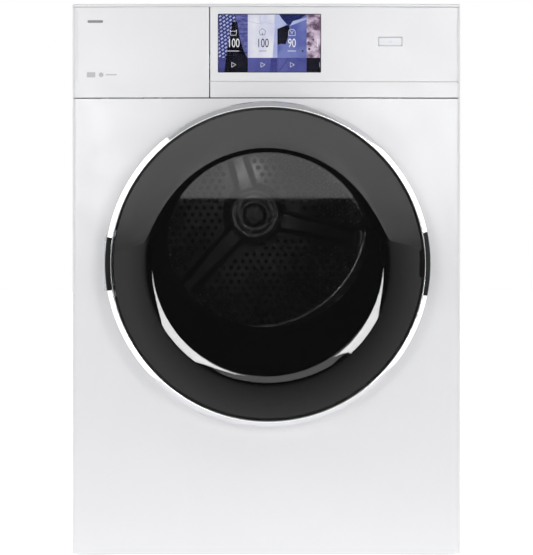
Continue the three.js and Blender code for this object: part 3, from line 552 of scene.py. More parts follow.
def drawer():
    x1 = DRAWER_HI.x
    skin = front_skin("drawer_skin", -HALF_WIDTH, x1, DRAWER_LO.z, DRAWER_HI.z, 3)
    carve(skin, level_groove(-HALF_WIDTH, x1, GROOVE / 3, GROOVE / 3), upright_groove(-290.4, GROOVE))
    piece(skin, "drawer", "white_plastic", "drawer_front", soft=0.35)
    x0 = -HALF_WIDTH + 5
    steps = [x0 + (x1 - 2 - x0) * i / 24 for i in range(25)]
    outline = [(x, front_y(x) + 2.9) for x in steps] + [(steps[-1], FRONT_Y + 12), (x0, FRONT_Y + 12)]
    backing = prism("drawer_backing", outline, DRAWER_LO.z + 3.6, DRAWER_HI.z - 2.6, "Z")
    piece(backing, "drawer", "white_plastic", soft=0.8)


def worktop():
    edge = skin_edge(-HALF_WIDTH, HALF_WIDTH, 0, TOP_HI.y)
    plate = prism("worktop", edge, HEIGHT - 5, HEIGHT, "Z")
    soften_edges(plate, 1.4, 4)
    piece(plate, "cabinet", "white_paint", "top_cover")
    for side, sign in SIDES:
        x = sorted((sign * (HALF_WIDTH - 3), sign * (HALF_WIDTH - 5)))
        rim = block(f"worktop_rim_{side}", (x[0], FRONT_Y + 66, TOP_LO.z), (x[1], TOP_HI.y - 8, HEIGHT - 4.6))
        piece(rim, "cabinet", "white_paint", soft=0.5)


def pressed_sheet(name, lo, hi, sign):
    """A side sheet whose middle is pressed in a little, inside a rounded border."""
    thickness = 2
    margin = 46
    corner = 40
    depth = 1.6
    slope = 9

    def sunk(y, z):
        inside_y = min(y - lo.y, hi.y - y) - margin
        inside_z = min(z - lo.z, hi.z - z) - margin
        inside = min(inside_y, inside_z)
        if max(inside_y, inside_z) < corner:
            inside = corner - math.hypot(corner - inside_y, corner - inside_z)
        return depth * smooth_step(inside / slope)

    def stations(a, b, count):
        """Closely spaced where the pressing's edge runs."""
        result = {a, b} | {a + (b - a) * i / count for i in range(count + 1)}
        for i in range(-1, 8):
            result |= {a + margin + i * 1.5, b - margin - i * 1.5}
        return sorted(result)

    ys = stations(lo.y, hi.y, 72)
    zs = stations(lo.z, hi.z, 96)
    verts = []
    for layer in (0, thickness):
        for z in zs:
            verts += [(sign * (HALF_WIDTH - sunk(y, z) - layer), y, z) for y in ys]
    row = len(ys)
    skin = row * len(zs)
    faces = grid_faces(row, len(zs)) + grid_faces(row, len(zs), skin)
    border = list(range(row)) + [k * row + row - 1 for k in range(1, len(zs))]
    border += [skin - 1 - j for j in range(1, row)] + [k * row for k in range(len(zs) - 2, 0, -1)]
    for a, b in zip(border, border[1:] + border[:1]):
        faces.append((a, skin + a, skin + b, b))
    return from_faces(name, verts, faces)


def side_panels():
    for side, sign in SIDES:
        node = f"{side}_side_panel"
        lo, hi = box(node)
        piece(pressed_sheet(f"{side}_side_sheet", lo, hi, sign), "cabinet", "white_paint", node, angle=40)
        x = sorted((sign * (HALF_WIDTH - 18), sign * (HALF_WIDTH - 1.9)))
        flange = block(f"{side}_side_flange", (x[0], hi.y - 2, lo.z), (x[1], hi.y, hi.z))
        piece(flange, "cabinet", "white_paint", soft=0.5)


def louvre(x0, x1, y, z, height):
    """One pressed louvre: a half-round hood over its slot, open below."""
    profile = []
    steps = 8
    for k in range(steps + 1):
        angle = pi / 2 * k / steps
        profile.append((y - 2 + 5.4 * cos(angle), z + height * sin(angle)))
    inner = [(a - 0.9 if a > y else a, b - 0.9) for a, b in profile[::-1]]
    section = profile + [(a, max(b, z)) for a, b in inner]
    return prism("louvre", section, x0, x1, "X")


def rear_panel():
    lo, hi = box("rear_panel")
    sheet = block("rear_sheet", lo, hi)
    depth = (lo.y - 5, hi.y + 5)
    slots = []
    hoods = []
    for i in range(9):
        z = 60 + i * 14
        slots.append(prism("slot", rounded_rect(40, 220, z, z + 6, 2.9), *depth, "Y"))
        hoods.append(louvre(41, 219, hi.y, z + 2.4, 4.4))
    carve(sheet, joined("slots", slots), disc("duct_hole", 190, *depth, 0, DRUM_Z))
    piece(sheet, "cabinet", "zinc_steel", "rear_panel", soft=0.4)
    piece(joined("rear_louvres", hoods), "cabinet", "zinc_steel")
    places = [(x, z) for x in (lo.x + 9, hi.x - 9) for z in (30, 230, 430, 630, 826)]
    screws = [screw_head(x, hi.y - 0.05, z, 4.4, 1) for x, z in places]
    piece(joined("rear_screws", screws), "cabinet", "zinc_steel")


def rear_duct_cover():
    lo, hi = box("rear_duct_cover")
    rim = lo.y - hi.y
    outer = [(0, -1.5), (60, -1.5), (66, 0), (110, 0), (113, -1.4), (119, -1.4), (122, 0), (185, 0),
             (205, rim + 2.1), (222, rim + 2.1)]
    inner = [(222, rim), (204, rim), (184, -2), (121, -2), (118, -3.4), (114, -3.4), (111, -2), (66, -2),
             (60, -3.5), (0, -3.5)]
    cover = turned("duct_cover", outer + inner, 2.5, (0, hi.y), DRUM_Z, 4)
    piece(cover, "cabinet", "zinc_steel", "rear_duct_cover")
    screw_circle("duct_cover_screws", "cabinet", "zinc_steel", 10, 18, 214, lo.y + 2, DRUM_Z, 4.2, 1)


def feet():
    pad = [(0, 0), (18, 0), (20, 1.5), (20, 3), (19, 3.4), (19, 4), (20, 4.4), (20, 5.5), (17, 7), (0, 7)]
    pitch = 1.2
    thread = [(0, 6.8), (5, 6.8), (5, 12)]
    while thread[-1][1] < 43:
        z = thread[-1][1]
        thread += [(4.4, z + pitch / 2), (5, z + pitch)]
    thread += [(4, 44), (0, 44)]
    for i in range(1, 5):
        node = f"levelling_foot_{i}"
        lo, hi = box(node)
        x, y, _ = (lo + hi) / 2
        piece(upright_lathe(f"foot_pad_{i}", pad, x, y), f"foot_{i}", "rubber", node)
        piece(upright_lathe(f"foot_stem_{i}", thread, x, y, 24), f"foot_{i}", "zinc_steel", angle=60)
        nut = prism(f"foot_nut_{i}", circle(x, y, 8, 6), 6.6, 9.4, "Z")
        piece(nut, f"foot_{i}", "zinc_steel", soft=0.4)


# ---- the display and the key ----
def at_screen(u, v):
    """A point of the screen from shares of its width and height, as x and z."""
    size = DISPLAY_HI - DISPLAY_LO
    return (DISPLAY_LO.x + u * size.x, DISPLAY_LO.z + v * size.z)


def ink_y(layer):
    """Where a layer of the picture starts. A higher layer lies nearer the glass."""
    return box("display_panel")[0].y - layer * 0.06


def shapes(name, outlines, layer, look):
    """Flat printed shapes, one sheet of ink thick."""
    front = ink_y(layer)
    parts = [prism("shape", outline, front, front + 0.05, "Y") for outline in outlines]
    piece(joined(name, parts), "cabinet", "lit_screen", look=look)


def on_screen(points):
    return [at_screen(u, v) for u, v in points]


def stroke(points, width, closed=False):
    """A line of even width through points, as one outline for each stretch."""
    result = []
    pairs = list(zip(points, points[1:]))
    if closed:
        pairs.append((points[-1], points[0]))
    for a, b in pairs:
        along = Vector(b) - Vector(a)
        reach = along.normalized() * width * 0.4
        side = Vector((-along.y, along.x)).normalized() * width / 2
        start = Vector(a) - reach
        end = Vector(b) + reach
        result.append([tuple(start + side), tuple(end + side), tuple(end - side), tuple(start - side)])
    return result


def numeral(name, text, x, z, look):
    """A narrow numeral on the screen, centred on x and standing on z."""
    height = 13.6 * MM
    narrowing = 0.66
    layer = 5.2
    curve = bpy.data.curves.new(name, "FONT")
    curve.body = text
    curve.align_x = "CENTER"
    curve.size = height / 0.72
    curve.extrude = 0.02 * MM
    curve.offset = 0.02 * MM
    text_obj = add_object(name, curve)
    bpy.context.view_layer.update()
    mesh = bpy.data.meshes.new_from_object(text_obj)
    bpy.data.objects.remove(text_obj)
    place = Matrix.Translation(Vector((x, ink_y(layer), z)) * MM) @ Matrix.Rotation(pi / 2, 4, "X")
    mesh.transform(place @ Matrix.Diagonal((narrowing, 1, 1, 1)))
    piece(add_object(name, mesh), "cabinet", "lit_screen", look=look)


def display():
    tile_u = (0, 0.288, 0.578, 0.8645, 1.0)
    band = 0.247  # the share of the height that the lower band takes
    top = 1.0
    cloth = woven_screen("woven_cloth", (0.035, 0.04, 0.22), (0.55, 0.60, 0.90))
    slate = screen("slate_cloth", (0.07, 0.08, 0.28), (0.20, 0.20, 0.50), 130, (1, 1, 3))
    linen = screen("linen", (0.62, 0.64, 0.90), (0.93, 0.93, 1.0), 34, (1, 1, 0.5), 0.4)
    shirt = screen("shirt", (0.09, 0.11, 0.40), (0.22, 0.26, 0.60), 30, (1, 1, 1), 0.8)
    lace = screen("lace", (0.16, 0.09, 0.16), (0.78, 0.64, 0.80), 75, (1, 1, 1.4), 0.3, 0.4, 0.6)
    night = screen("night", (0.004, 0.004, 0.008), (0.012, 0.012, 0.022), 90)
    navy = screen("navy", (0.012, 0.018, 0.09), (0.02, 0.03, 0.14), 60)
    violet = screen("violet", (0.085, 0.095, 0.33), (0.12, 0.13, 0.40), 50, (1, 1, 0.4))
    deep = screen("deep_violet", (0.05, 0.05, 0.23), (0.07, 0.075, 0.28), 50)
    pale = screen("pale", (0.42, 0.47, 0.80), (0.55, 0.60, 0.90), 40)
    brown = screen("brown", (0.045, 0.022, 0.03), (0.11, 0.06, 0.07), 120)
    white = screen("white_ink", (0.88, 0.88, 0.92), (0.95, 0.95, 0.98), 90, strength=1.0)
    ink = screen("dark_ink", (0.03, 0.03, 0.05), (0.05, 0.05, 0.08), 90)

    def area(u0, u1, v0=band, v1=top):
        return on_screen([(u0, v0), (u1, v0), (u1, v1), (u0, v1)])

    def footer(i):
        return area(tile_u[i], tile_u[i + 1], 0, band)

    def line(points, width):
        return stroke(on_screen(points), width)

    def icon(u, v, points, closed=True):
        """A line drawing of points in millimetres from a point of the screen."""
        x, z = at_screen(u, v)
        return stroke([(x + a, z + b) for a, b in points], 0.55, closed)

    shapes("picture_woven", [area(0, 0.17)], 1, cloth)
    shapes("picture_slate", [area(0.17, 0.288)], 1, slate)
    for i, (name, look) in enumerate((("linen", linen), ("shirt", shirt), ("lace", lace)), 1):
        shapes(f"picture_{name}", [area(tile_u[i], tile_u[i + 1])], 1, look)
    wedge = [(0.135, 0.88), (0.185, 0.87), (0.21, 0.58), (0.245, 0.39), (0.284, band), (0.07, band),
             (0.10, 0.5), (0.12, 0.66)]
    shapes("picture_wedge", [on_screen(wedge)], 2, night)
    stripe = [(0.53, band), (0.578, band), (0.578, top), (0.555, top), (0.55, 0.7)]
    folds = line([(0.29, 0.89), (0.34, 0.86), (0.40, 0.84), (0.46, 0.86), (0.55, 0.83)], 0.5)
    folds += line([(0.41, 0.99), (0.405, 0.9), (0.42, 0.83)], 0.6)
    folds += line([(0.545, 0.99), (0.55, 0.84)], 0.6)
    shapes("picture_folds", [on_screen(stripe)] + folds, 2, pale)
    shadow = [(0.578, 0.75), (0.635, 0.79), (0.69, 0.82), (0.70, 0.72), (0.678, 0.59), (0.66, 0.48),
              (0.61, 0.49), (0.578, 0.47)]
    shapes("picture_shadow", [on_screen(shadow)], 2, night)
    neck = [(0.594, top), (0.86, top), (0.80, 0.92), (0.73, 0.885), (0.70, 0.815), (0.67, 0.83),
            (0.625, 0.92)]
    shapes("picture_neck", [on_screen(neck)], 2, navy)
    collar = [(0.578, top), (0.594, top), (0.625, 0.92), (0.67, 0.83), (0.635, 0.79), (0.578, 0.75)]
    strip = [(0.73, 0.885), (0.8645, 0.95), (0.8645, 0.915), (0.70, 0.80)]
    shapes("picture_collar", [on_screen(collar), on_screen(strip)], 3, pale)
    spots = ((0.826, 0.365, 1.6), (0.89, 0.40, 1.8), (0.93, 0.56, 1.4), (0.885, 0.52, 1.2))
    shapes("picture_buttons", [circle(*at_screen(u, v), radius) for u, v, radius in spots], 3, brown)
    shapes("band_night", [footer(0), footer(3)], 2, night)
    shapes("band_violet", [footer(1), footer(2)], 2, violet)
    shade_right = on_screen([(0.505, 0), (0.578, 0), (0.578, band), (0.515, band)])
    shade_left = on_screen([(0, 0), (0.055, 0), (0.075, band), (0, band)])
    creases = line([(0.60, 0.03), (0.68, 0.22)], 1.2) + line([(0.76, 0.24), (0.85, 0.17)], 1.0)
    shapes("band_shade", [shade_right, shade_left] + creases, 3, deep)

    icons = []
    for u in (0.1465, 0.433, 0.7205):
        icons += icon(u, 0.125, [(-2.6, -3.6), (-2.6, 3.6), (3.6, 0)])
    icons += icon(0.9935, 0.125, [(0, -3.4), (0, 3.4)], False)
    icons += icon(0.146, 0.685, [(-5, 4), (-4.2, -4), (4.2, -4), (5, 4), (2.6, 1.6), (1.4, 2.2), (-1.4, 2.2),
                                 (-2.6, 1.6)])
    icons += icon(0.7205, 0.685, [(-5, -4.6), (5, -4.6), (5, 2), (3, 4.8), (-3, 4.8), (-5, 2)])
    icons += icon(0.7205, 0.685, [(-2.4, 3), (0, -1.4), (2.4, 3)], False)
    shapes("screen_icons", icons, 5, white)
    x, z = at_screen(0.431, 0.70)
    house = icon(0.431, 0.70, [(-5, 1), (0, 5), (5, 1), (3.4, -4.8), (-3.4, -4.8)])
    shapes("screen_house_icon", house + [[(x - 1, z - 4.4), (x + 1, z - 4.4), (x, z - 1.6)]], 5, ink)
    captions = line([(0.09, 0.365), (0.20, 0.365)], 0.9) + line([(0.68, 0.365), (0.76, 0.365)], 0.8)
    shapes("screen_captions", captions, 5, white)
    shapes("screen_dark_caption", line([(0.40, 0.365), (0.465, 0.365)], 0.9), 5, violet)
    numbers = ((0.149, "100", white), (0.435, "100", ink), (0.7205, "90", white), (0.974, "1", white))
    for i, (u, text, look) in enumerate(numbers, 1):
        numeral(f"screen_numeral_{i}", text, *at_screen(u, 0.432), look)


def display_glass():
    pane = prism("touch_pane", box_outline(DISPLAY_LO, DISPLAY_HI, 0, 0.8), DISPLAY_LO.y, DISPLAY_HI.y, "Y")
    piece(pane, "cabinet", "black_glass", "display_glass", soft=0.25)


def power_key():
    front = KEY_LO.y
    cap = prism("power_key_cap", box_outline(KEY_LO, KEY_HI, 0, 1), front, front + 3, "Y")
    piece(cap, "power_key", "white_plastic", "power_button", soft=0.3)
    x, _, z = (KEY_LO + KEY_HI) / 2
    stem = block("power_key_stem", (x - 3, front + 2.8, KEY_LO.z + 3), (x + 3, KEY_HI.y, KEY_HI.z - 3))
    piece(stem, "power_key", "white_plastic", soft=0.4)
    blue = finish("pale_blue_print", (0.58, 0.70, 0.93), 0.4, tone=0.03)
    lines = stroke(box_outline(KEY_LO, KEY_HI, -0.9, 0.8, 3), 0.75, True)
    lines += stroke([(x, z), (x, z + 2)], 0.5)
    turns = [radians(degrees) for degrees in range(40, 321, 20)]
    lines += stroke([(x + 1.9 * sin(a), z + 1.9 * cos(a)) for a in turns], 0.5)
    parts = [prism("print", outline, front - 0.03, front + 0.02, "Y") for outline in lines]
    piece(joined("power_key_print", parts), "power_key", "white_plastic", look=blue)


def print_marks():
    """Plain marks on the drawer's front where such machines carry their badge and labels."""
    grey = finish("grey_print", (0.20, 0.20, 0.21), 0.45, tone=0.05)
    light = finish("light_grey_print", (0.50, 0.50, 0.52), 0.45, tone=0.05)

    def printed(name, outlines, look):
        marks = joined(name, [prism("mark", outline, -0.08, 0.3, "Y") for outline in outlines])
        for vertex in marks.data.vertices:
            vertex.co.y += front_y(vertex.co.x / MM) * MM
        piece(marks, "drawer", "white_plastic", look=look)

    printed("badge_bar", [rounded_rect(-274, -250, 821, 825, 1.9)], grey)
    label = [rounded_rect(-275, -262, 737.5, 745.5, 1.2), circle(-253, 741.5, 3.6),
             rounded_rect(-246, -229, 740.6, 742.4, 0.8)]
    printed("label_marks", label, light)


# ---- the door ----
def dish_y(radius):
    """The smoked cover's front, which falls smoothly from the rim to a flat window."""
    bend = min(max(radius - BEND_INNER, 0.0), BEND_WIDTH)
    flank = max(radius - BEND_INNER - BEND_WIDTH, 0.0)
    rise = BEND_SLOPE * bend * bend / (2 * BEND_WIDTH) + flank * (BEND_SLOPE + FLANK_GAIN * flank)
    return WINDOW_Y - rise


def dish_points(outer, inner, count, behind=0.0):
    radii = [outer + (inner - outer) * i / count for i in range(count + 1)]
    return [(r, dish_y(r) + behind) for r in radii]


def hinge_notch():
    hinge = Vector(JOINTS["door_hinge"]["pos_m"]) / MM
    return block("notch", (-260, hinge.y - 9, DOOR_Z - 50), (hinge.x + 33, FRONT_Y + 5, DOOR_Z + 50))


def finger_slot(x0):
    outline = rounded_rect(x0, RIM_RADIUS + 20, DOOR_Z - 22, DOOR_Z + 22, 5)
    return prism("slot", outline, FRONT_Y - 60, FRONT_Y - 16, "Y")


def insert_sector(sign, clearance):
    """The sector of the ring's outer skin that a side insert takes up."""
    half = math.asin((48 if sign > 0 else 40) / DOOR_RADIUS) + clearance / DOOR_RADIUS
    inner = RIM_RADIUS + 2.6 - clearance / 2
    outer = DOOR_RADIUS + 10
    turns = [half * (k / 12 - 1) for k in range(25)]
    arcs = [on_circle(0, DOOR_Z, inner, a) for a in turns]
    arcs += [on_circle(0, DOOR_Z, outer, a) for a in turns[::-1]]
    return prism("insert", [(sign * x, z) for x, z in arcs], FRONT_Y - 60, FRONT_Y - 10 + clearance, "Y")


def ring():
    points = [(0, -30), (0, -43), (2, -45), (9.5, -36.5), (11, -33), (11, -12), (8, -4), (5.5, -4),
              (7.5, -12), (7.5, -30)]
    body = turned("chrome_ring", points, 1.4, (RIM_RADIUS, FRONT_Y), DOOR_Z, 4, 256)
    carve(body, hinge_notch(), insert_sector(1, 0.6), insert_sector(-1, 0.6))
    piece(body, "door", "chrome", "door_ring", angle=40)


def side_insert(name, node, sign):
    rear = -12 if sign > 0 else -33.8
    points = [(1, -42.5), (2.5, -44.4), (9.4, -36.4), (10.7, -33), (10.7, rear), (5, rear)]
    body = turned(name, points, 1.6, (RIM_RADIUS, FRONT_Y), DOOR_Z)
    combine(body, insert_sector(sign, 0), "INTERSECT")
    soften_edges(body, 0.4, angle=50)
    piece(body, "door", "dark_plastic", node, look=BLACK_GLOSS)


def cover():
    thickness = 3
    front = dish_points(RIM_RADIUS - 3, WINDOW_RADIUS - 8, 36)
    back = [(r, y + thickness) for r, y in front]
    section = [(0, WINDOW_Y + thickness)] + back[::-1] + front + [(0, WINDOW_Y)]
    body = lathe("smoked_cover", section, 0, DOOR_Z)
    carve(body, finger_slot(RIM_RADIUS - 7))
    piece(body, "door", "smoked_plastic", "door_cover", angle=40)


def painted_window_shade():
    """Painted shade: a black sheet round the window that leaves a wide oval clear in its upper part and darkens
    the lower part and sides, where the bowl's flank lies in shadow.
    """
    y = WINDOW_Y + 3.1
    sheet = disc("painted_window_shade", WINDOW_RADIUS + 3, y, y + 0.3, 0, DOOR_Z)
    half_width = 151
    half_height = 132
    # the oval sits 34 mm above the door's centre, so the painted shade lies below and beside it
    oval = [(half_width * x, DOOR_Z + 34 + half_height * z) for x, z in circle(0, 0, 1, ROUND)]
    carve(sheet, prism("oval", oval, y - 2, y + 3, "Y"))
    piece(sheet, "door", "dark_plastic", look=BLACK_PRINT_AND_PAINTED_SHADE)


def cover_mask():
    """The black print behind the cover's dished part."""
    front = dish_points(RIM_RADIUS - 3.4, WINDOW_RADIUS + 1, 30, 3.15)
    body = lathe("cover_mask", front + [(r, y + 0.4) for r, y in front[::-1]], 0, DOOR_Z)
    carve(body, finger_slot(RIM_RADIUS - 7))
    piece(body, "door", "dark_plastic", look=BLACK_PRINT_AND_PAINTED_SHADE, angle=40)


def door_frame():
    inner = WINDOW_RADIUS + 1
    front = dish_points(RIM_RADIUS - 1.5, inner, 24, 3.8)
    rear = FRONT_Y - 3.2
    step_y = FRONT_Y - 29.5
    section = front + [(inner, rear), (DOOR_RADIUS - 6, rear), (DOOR_RADIUS - 4.2, rear - 8),
                       (DOOR_RADIUS - 4.2, step_y), (RIM_RADIUS - 1.5, step_y)]
    body = lathe("door_inner_frame", section, 0, DOOR_Z)
    arm_x = box("hinge_arm")[1].x
    leaf = block("leaf_seat", (-243, FRONT_Y - 9.6, DOOR_Z - 32.6), (arm_x + 0.6, FRONT_Y, DOOR_Z + 32.6))
    carve(body, hinge_notch(), finger_slot(RIM_RADIUS - 26), leaf, insert_sector(1, 1.4))
    piece(body, "door", "dark_plastic", "door_frame", angle=40)
    screw_circle("door_frame_screws", "door", "zinc_steel", 8, 22.5, 215, rear - 0.05, DOOR_Z, 3.6, 1)


def glass_bowl():
    points = [(0, 66), (128, 66), (143, 60), (150, 48), (166, 1.6), (176, 1.6), (176, -2.6), (162, -2.6),
              (146, 47), (140, 57), (127, 62), (0, 62)]
    bowl = turned("glass_bowl", points, 6, (0, FRONT_Y), DOOR_Z, 5)
    piece(bowl, "door", "door_glass", "door_glass", angle=50)


def seal():
    points = [(0.5, -0.9), (9, -0.9), (9, -1.9), (5, -2.7), (0.5, -2.7)]
    lip = turned("seal_ring", points, 0.4, (OPENING_RADIUS, FRONT_Y), DOOR_Z)
    piece(lip, "cabinet", "rubber", "door_seal")


def bulkhead():
    front = FRONT_Y + 19
    plate = prism("bulkhead_plate", rounded_rect(-286, 286, 176, 700, 6), front, front + 3, "Y")
    carve(plate, disc("mouth", OPENING_RADIUS + 3.4, front - 5, front + 9, 0, DOOR_Z))
    piece(plate, "cabinet", "grey_plastic", "front_bulkhead")
    points = [(0, -0.5), (4, -0.5), (4, 22), (0, 22)]
    collar = turned("opening_collar", points, 1, (OPENING_RADIUS, FRONT_Y), DOOR_Z)
    carve(collar, block("filter_slot", (-122, FRONT_Y + 6, 262), (122, FRONT_Y + 18, 296)))
    piece(collar, "cabinet", "grey_plastic")
    drum_y = DRUM_LO.y
    reach = drum_y - front  # from the bulkhead to the drum's front edge
    points = [(-7, 2), (-4, 2), (-4, reach + 10), (-7, reach + 10)]
    piece(turned("drum_track", points, 0.6, (MOUTH_RADIUS, front), DRUM_Z), "cabinet", "grey_plastic")
    axle = [(0, front + 2), (5, front + 2), (5, drum_y + 33), (4, drum_y + 34), (0, drum_y + 34)]
    half_roll = [(5.6, 6), (14, 6), (15, 7), (19, 7), (20, 8.5)]
    roll = half_roll + [(r, 34 - y) for r, y in half_roll[::-1]]
    axles = []
    for i in (1, 2):
        node = f"drum_roller_{i}"
        lo, hi = box(node)
        x, _, z = (lo + hi) / 2
        axles.append(lathe("axle", axle, x, z, SMALL_ROUND))
        wheel = lathe(f"roller_wheel_{i}", [(r, drum_y + y) for r, y in roll], x, z, SMALL_ROUND)
        piece(wheel, f"roller_{i}", "dark_plastic", node)
    piece(joined("roller_axles", axles), "cabinet", "grey_plastic")


# ---- the drum ----
def blend_max(a, b, reach):
    """The larger of two heights, with a soft fillet where they meet."""
    h = max(0.0, min(1.0, 0.5 + (a - b) / (2 * reach)))
    return b + (a - b) * h + reach * h * (1 - h)


def beside_spokes(x, z):
    """For each spoke that runs on this side of the axis: how far along it and beside it a point lies."""
    for degrees in SPOKE_ANGLES:
        a = radians(degrees)
        along = x * cos(a) + z * sin(a)
        if along >= 0:
            yield along, abs(z * cos(a) - x * sin(a))


def wall_relief(x, z):
    """How far the rear wall stands forward of its flat at a point from the drum's axis."""
    r = math.hypot(x, z)
    height = 10 * (1 - smooth_step((r - 44) / 16))
    for along, across in beside_spokes(x, z):
        half = 19 - 5 * along / 220
        crest = 7 * (1 - smooth_step((across - half + 6) / 9))
        crest *= 1 - smooth_step((along - WALL_RADIUS + 20) / 14)
        height = blend_max(crest, height, 1.6) if crest > 0.001 else height
    height += 4 * (1 - smooth_step((r - 16.5) / 3.5))
    for groove_radius in (25, 36):
        height -= 0.9 * max(0.0, 1 - abs(r - groove_radius) / 2)
    if r > WALL_RADIUS:
        height += 24 * (r - WALL_RADIUS) / 45.5
    return max(0.0, height)


def free_of_spokes(x, z, margin):
    if not HUB_RADIUS < math.hypot(x, z) < WALL_RADIUS - 5:
        return False
    for along, across in beside_spokes(x, z):
        fillet = 16 * max(0.0, 1 - (along - 50) / 60)
        if across < margin + fillet:
            return False
    return True


def perforations():
    """Countersunk hole cutters on a staggered lattice between the spokes."""
    pitch = 14.5
    row_pitch = pitch * 0.866
    sides = 10
    levels = ((5.6, -2), (5.2, -0.3), (3.3, 1.3), (3.3, 9))
    verts = []
    faces = []
    rows = int(WALL_RADIUS / row_pitch) + 1
    for row in range(-rows, rows + 1):
        for column in range(-16, 17):
            x = (column + 0.5 * (row % 2)) * pitch
            z = row * row_pitch
            if not free_of_spokes(x, z, 24):
                continue
            start = len(verts)
            for radius, y in levels:
                verts += [(a, WALL_Y + y, b) for a, b in circle(x, DRUM_Z + z, radius, sides)]
            faces += grid_faces(sides, len(levels), start, closed=True)
            faces += [tuple(range(a, a + sides)) for a in (start, start + 3 * sides)]
    return from_faces("perforations", verts, faces)


def drum_rear_wall():
    outer = DRUM_RADIUS - 2.5
    rings = 100
    sides = 300
    radii = [outer * (i / rings) for i in range(1, rings + 1)]
    verts = []
    for layer in (0, 1):
        for r in radii:
            for x, z in circle(0, 0, r, sides):
                y = WALL_Y - min(wall_relief(x, z), 26)
                verts.append((x, min(y + layer * 2.2, WALL_HI_Y), DRUM_Z + z))
        verts.append((0, WALL_Y - wall_relief(0, 0) + layer * 2.2, DRUM_Z))
    faces = []
    skin = rings * sides + 1
    rim = (rings - 1) * sides
    for base in (0, skin):
        faces += grid_faces(sides, rings, base, closed=True)
        faces += [(base + k, base + (k + 1) % sides, base + skin - 1) for k in range(sides)]
    for k in range(sides):
        a = rim + k
        b = rim + (k + 1) % sides
        faces.append((a, b, skin + b, skin + a))
    wall = from_faces("drum_rear_wall_sheet", verts, faces)
    carve(wall, perforations())
    piece(wall, "drum", "drum_steel", "drum_rear_wall", angle=40)
    screw_circle("hub_bolts", "drum", "drum_steel", 5, 54, 30.5, WALL_Y - 9.8, DRUM_Z, 4, -1)


def drum_shell():
    r = DRUM_RADIUS
    front = DRUM_LO.y
    back = DRUM_HI.y
    beads = [(r, front + 3)]
    for y in (-143, 47, 127):
        beads += [(r, y - 14), (r - 1.6, y), (r, y + 7)]
    outer = [(MOUTH_RADIUS, front), (r - 3, front)] + beads + [(r, back)]
    inner = [(r - 2, back)] + [(a - 2, b) for a, b in beads[:0:-1]] + [(r - 2, front + 4)]
    section = outer + inner + [(r - 4, front + 2), (MOUTH_RADIUS, front + 2)]
    shell = turned("drum_barrel", section, 2, (0, 0), DRUM_Z, 2)
    piece(shell, "drum", "drum_steel", "drum_shell", angle=50)


def baffle(index, degrees):
    lo_y = DRUM_LO.y + 42  # behind the glass bowl that it sweeps past
    hi_y = WALL_Y - 34
    half_width = 28
    height = 45
    across = 20
    along = 40
    verts = []
    for layer in (0, 1):
        for j in range(along + 1):
            v = j / along
            ends = math.sqrt(max(0.0, 1 - abs(2 * v - 1) ** 5))
            for i in range(across + 1):
                u = 2 * i / across - 1
                rise = layer * height * (1 - u * u) ** 1.3 * ends
                verts.append((DRUM_RADIUS - 5.5 - rise, lo_y + (hi_y - lo_y) * v, u * half_width))
    size = (across + 1, along + 1)
    faces = grid_faces(*size) + grid_faces(*size, size[0] * size[1])
    obj = from_faces(f"lifter_{index}", verts, faces)
    turn = Matrix.Rotation(-radians(degrees), 4, "Y")
    obj.data.transform(Matrix.Translation((0, 0, DRUM_Z * MM)) @ turn)
    piece(obj, "drum", "grey_plastic", f"drum_baffle_{index}", angle=60)


# ---- the frame's own pieces ----
def dress_cad_nodes():
    """Every CAD node that still shows gets its slot's material and slightly rounded edges."""
    slots = {part["node"]: part["material_slot"] for part in frame["record"]["subparts"]}
    for name, obj in frame["nodes"].items():
        obj.data.materials.clear()
        obj.data.materials.append(LOOKS[slots[name]])
        obj.data.polygons.foreach_set("use_smooth", [True] * len(obj.data.polygons))
        weld = obj.modifiers.new("weld", "WELD")
        weld.merge_threshold = 0.01 * MM
        add_bevel(obj, 0.5, 35)
        obj.modifiers.new("even_shading", "WEIGHTED_NORMAL")


# ---- the studio ----
def along_y(tree, vector):
    split = add_node(tree, "SeparateXYZ")
    link(vector, split.inputs["Vector"])
    return split.outputs["Y"]


